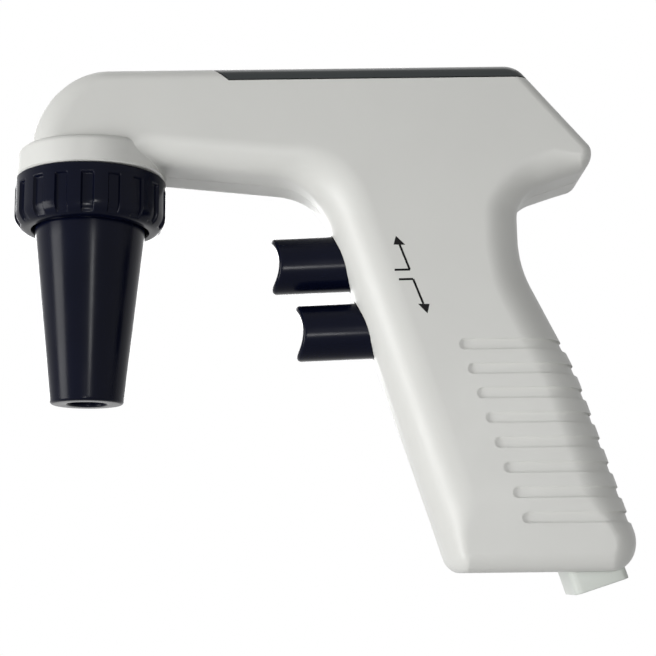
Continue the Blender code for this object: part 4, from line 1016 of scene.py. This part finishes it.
class PIPETTE_OT_screws(bpy.types.Operator):
    """Housing screws with their sockets, set in place by geometry nodes"""

    bl_idname = "pipette.screws"
    bl_label = "Screws"

    def execute(self, context):
        screw = lathe("screw", [
            (0.0, -0.0090), (0.0007, -0.0088), (0.0012, -0.0078), (0.0012, 0.0063),
            (0.0025, 0.0063), (0.0026, 0.0064), (0.0026, 0.0076), (0.0025, 0.0079),
            (0.0022, 0.0082), (0.0018, 0.0083), (0.0, 0.0083)], 40, ALONG_Y)
        star = []
        for s in range(24):
            bend = 2.0 * math.pi * s / 24
            radius = 0.0011 + 0.00024 * math.cos(6.0 * bend)
            star.append((radius * math.cos(bend), radius * math.sin(bend)))
        cut(screw, prism("socket", star, 0.0070, 0.0095))
        tree = ShapeTree("screw_places", Geometry="Geometry", Screw="Object",
                         Material="Material")
        turn = tree.add("ShaderNodeCombineXYZ", {"Y": tree.add("GeometryNodeInputIndex") * 0.83})
        tree.close(tree.add("GeometryNodeInstanceOnPoints", {
            "Points": tree.entry["Geometry"], "Instance": shape_of(tree, "Screw"),
            "Rotation": turn}))
        points = bpy.data.meshes.new("shell_screws")
        points.from_pydata(screw_places(), [], [])
        screws = tree.run(link_object(points, "shell_screws"), Screw=screw,
                          Material=finishes()["steel"])
        bpy.data.objects.remove(screw, do_unlink=True)
        dress(screws, "steel", "housing", SCREWS, 35.0)
        return {"FINISHED"}


class PIPETTE_OT_marks(bpy.types.Operator):
    """The two arrows printed on the left side: up beside the upper trigger, down below"""

    bl_idname = "pipette.marks"
    bl_label = "Arrows"

    def execute(self, context):
        half = settings()[0].width / 2.0
        half_line, proud, sunk = 0.00028, 0.00002, 0.00003
        strokes = (  # as x and z: three points are an arrow head, two a line
            ((-0.02403, 0.04426), (-0.02466, 0.04190), (-0.02160, 0.04182)),
            ((-0.02309, 0.04190), (-0.02061, 0.03520)),
            ((-0.02453, 0.03517), (-0.02051, 0.03520)),
            ((-0.02347, 0.03263), (-0.01976, 0.03267)),
            ((-0.01976, 0.03263), (-0.01728, 0.02606)),
            ((-0.01870, 0.02611), (-0.01568, 0.02603), (-0.01628, 0.02356)),
        )
        bm = bmesh.new()
        for points in strokes:
            if len(points) == 2:
                (ax, az), (bx, bz) = points
                way = Vector((bx - ax, bz - az)).normalized() * half_line
                points = ((ax + way.y, az - way.x), (bx + way.y, bz - way.x),
                          (bx - way.y, bz + way.x), (ax - way.y, az + way.x))
            stack(bm, [[(x, y, z) for x, z in points] for y in (-half - proud, -half + sunk)])
        marks = from_bmesh(bm, "arrow_marks")
        dress(marks, "ink", "housing")
        return {"FINISHED"}


class PIPETTE_OT_battery(bpy.types.Operator):
    """Battery pack case with its rounded foot"""

    bl_idname = "pipette.battery"
    bl_label = "Battery pack"

    def execute(self, context):
        rim, corner, wall, lift = 0.0003, 0.0020, 0.0012, 0.00024
        case_top, room_floor, room_corner = 0.0560, 0.0060, 0.0008
        sections = [(rounded_rectangle(PACK_DEPTH - 2 * inset, PACK_WIDTH - 2 * inset,
                                       corner - inset), z)
                    for inset, z in arc(rim, lift + rim, rim, 270.0, 180.0, 6)]
        sections.append((rounded_rectangle(PACK_DEPTH, PACK_WIDTH, corner), case_top))
        case = upright("pack_case", sections, pack_frame())
        room = rounded_rectangle(PACK_DEPTH - 2 * wall, PACK_WIDTH - 2 * wall, room_corner)
        cut(case, upright("room", [(room, room_floor), (room, case_top + 0.0020)], pack_frame()))
        dress(case, "pack", "battery", ["battery_case"], 32.0)
        return {"FINISHED"}


class PIPETTE_OT_inner(bpy.types.Operator):
    """Finishes of the inner pieces, which keep their own solids"""

    bl_idname = "pipette.inner"
    bl_label = "Inner pieces"

    def execute(self, context):
        groups = {
            "white": ("nose_socket", "filter_lower", "filter_membrane", "filter_upper",
                      "upper_plunger", "lower_plunger", "exhaust_filter", "board_connector"),
            "pack": ("check_valve_body", "valve_block", "pump_valve_plate"),
            "black": ("upper_sensor", "lower_sensor", "pump_body", "pump_cover", "motor_end_cap",
                      "control_chip", "battery_lid", "contact_block"),
            "rubber": ("nose_seal", "check_valve_disc", "pump_diaphragm"),
            "silicone": ("pipette_adapter", "suction_hose", "vacuum_hose", "pressure_hose"),
            "steel": ("upper_magnet", "lower_magnet", "motor_can", "motor_rotor"),
            "brass": ("eccentric", "pack_contact_1", "pack_contact_2", "contact_leaf_1",
                      "contact_leaf_2"),
            "board": ("control_board", "sensor_board", "protection_board"),
            "cell": ("battery_cell",),
            "lamp": ("status_lamp",),
        }
        for finish, nodes in groups.items():
            for node in nodes:
                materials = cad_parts[node].data.materials
                materials.clear()
                materials.append(finishes()[finish])
        return {"FINISHED"}


def seen_directly(tree):
    """1 for rays of the camera, of reflections and through clear pieces, else 0."""
    path = tree.add("ShaderNodeLightPath")
    either = path.maths("MAXIMUM", path["Is Camera Ray"], path["Is Glossy Ray"])
    return either.maths("MAXIMUM", either, path["Is Transmission Ray"])


def floor_finish():
    """Pale floor that runs out into white away from the object and keeps its shadow."""
    finish = Finish("pale_floor", (0.50, 0.50, 0.50), 0.9)
    finish.mottle(9.0, 0.01)
    near, far, least = 0.25, 0.75, 0.55     # where the white starts and is full, its start
    away = finish.from_axis(finish.add("ShaderNodeSeparateXYZ", {0: finish.place}))
    whiteness = finish.spread(away, near, far, least, 1.0) * seen_directly(finish)
    glow = finish.add("ShaderNodeEmission", {"Color": (1.0, 1.0, 1.0, 1.0), "Strength": 1.0})
    surface = Wire(finish, finish.shader.outputs[0])
    mixed = finish.add("ShaderNodeMixShader", {0: whiteness, 1: surface, 2: glow})
    output = finish.tree.nodes["Material Output"]
    finish.tree.links.new(mixed.socket, output.inputs["Surface"])
    return finish.material


class PIPETTE_OT_stage(bpy.types.Operator):
    """Floor, background, lights and camera"""

    bl_idname = "pipette.stage"
    bl_label = "Stage"

    def execute(self, context):
        stage = settings()[3]
        floor = block("floor", (-6.0, -6.0, stage.floor - 0.02), (6.0, 6.0, stage.floor))
        floor.data.materials.append(floor_finish())
        self.world(context, stage)
        self.lamp("key_softbox", (-0.81, -0.33, -0.09), (0.34, 0.50), 5.3)
        self.lamp("front_window", (-0.06, -0.62, -0.16), (0.038, 0.038), 0.75)
        self.lamp("nose_window", (0.07, -0.62, 0.03), (0.030, 0.130), 0.62)
        self.lamp("top_softbox", (-0.05, 0.22, 0.85), (0.80, 0.50), 1.4)
        self.lamp("far_softbox", (-0.30, 0.85, 0.30), (0.70, 0.50), 4.2)
        camera = link_object(bpy.data.cameras.new("camera"), "camera")
        camera.data.lens = stage.lens
        camera.data.sensor_width = 36.0
        camera.data.clip_start = 0.01
        camera.location = stage.eye
        look = Matrix.Rotation(math.pi / 2.0 + stage.tilt, 4, "X")
        camera.rotation_euler = (look @ Matrix.Rotation(stage.roll, 4, "Z")).to_euler()
        context.scene.camera = camera
        context.scene.view_settings.view_transform = "Standard"
        return {"FINISHED"}

    def world(self, context, stage):
        """Soft surrounding light, seen as plain white by the camera and in reflections."""
        world = bpy.data.worlds.new("studio")
        context.scene.world = world
        world.use_nodes = True
        tree = Tree(world.node_tree)
        background = world.node_tree.nodes["Background"]
        level = seen_directly(tree) * (1.0 - stage.ambient) + stage.ambient
        background.inputs["Color"].default_value = (1.0, 1.0, 1.0, 1.0)
        world.node_tree.links.new(level.socket, background.inputs["Strength"])

    def lamp(self, name, place, size, power):
        """A rectangular soft light that faces the middle of the object."""
        lamp = link_object(bpy.data.lights.new(name, "AREA"), name)
        lamp.data.shape = "RECTANGLE"
        lamp.data.size, lamp.data.size_y = size
        lamp.data.energy = power
        lamp.location = place
        aim = Vector(MIDDLE) - Vector(place)
        lamp.rotation_euler = aim.to_track_quat("-Z", "Y").to_euler()


class PIPETTE_PT_panel(bpy.types.Panel):
    """Lists the pieces and their settings"""

    bl_idname = "PIPETTE_PT_panel"
    bl_label = "Pipette Controller"
    bl_space_type = "VIEW_3D"
    bl_region_type = "UI"
    bl_category = "Pipette"

    def draw(self, context):
        column = self.layout.column()
        for operator in OPERATORS:
            column.operator(operator.bl_idname)
        for group in settings():
            for name in group.__annotations__:
                column.prop(group, name)


OPERATORS = (
    PIPETTE_OT_housing, PIPETTE_OT_strip, PIPETTE_OT_marks, PIPETTE_OT_collar, PIPETTE_OT_cone,
    PIPETTE_OT_triggers, PIPETTE_OT_springs, PIPETTE_OT_screws, PIPETTE_OT_battery,
    PIPETTE_OT_inner, PIPETTE_OT_stage,
)
GROUPS = {
    "pipette_housing": PipetteHousingSettings,
    "pipette_nose": PipetteNoseSettings,
    "pipette_colours": PipetteColourSettings,
    "pipette_stage": PipetteStageSettings,
}


def register():
    """Register the settings, the operators and the panel."""
    for name, group in GROUPS.items():
        bpy.utils.register_class(group)
        setattr(bpy.types.Scene, name, bpy.props.PointerProperty(type=group))
    for operator in OPERATORS:
        bpy.utils.register_class(operator)
    bpy.utils.register_class(PIPETTE_PT_panel)


def unregister():
    """Take them all out again."""
    bpy.utils.unregister_class(PIPETTE_PT_panel)
    for operator in reversed(OPERATORS):
        bpy.utils.unregister_class(operator)
    for name, group in GROUPS.items():
        delattr(bpy.types.Scene, name)
        bpy.utils.unregister_class(group)


def main():
    """Build every piece in order."""
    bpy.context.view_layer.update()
    register()
    for operator in OPERATORS:
        family, name = operator.bl_idname.split(".")
        getattr(getattr(bpy.ops, family), name)()


if __name__ == "__main__":
    main()
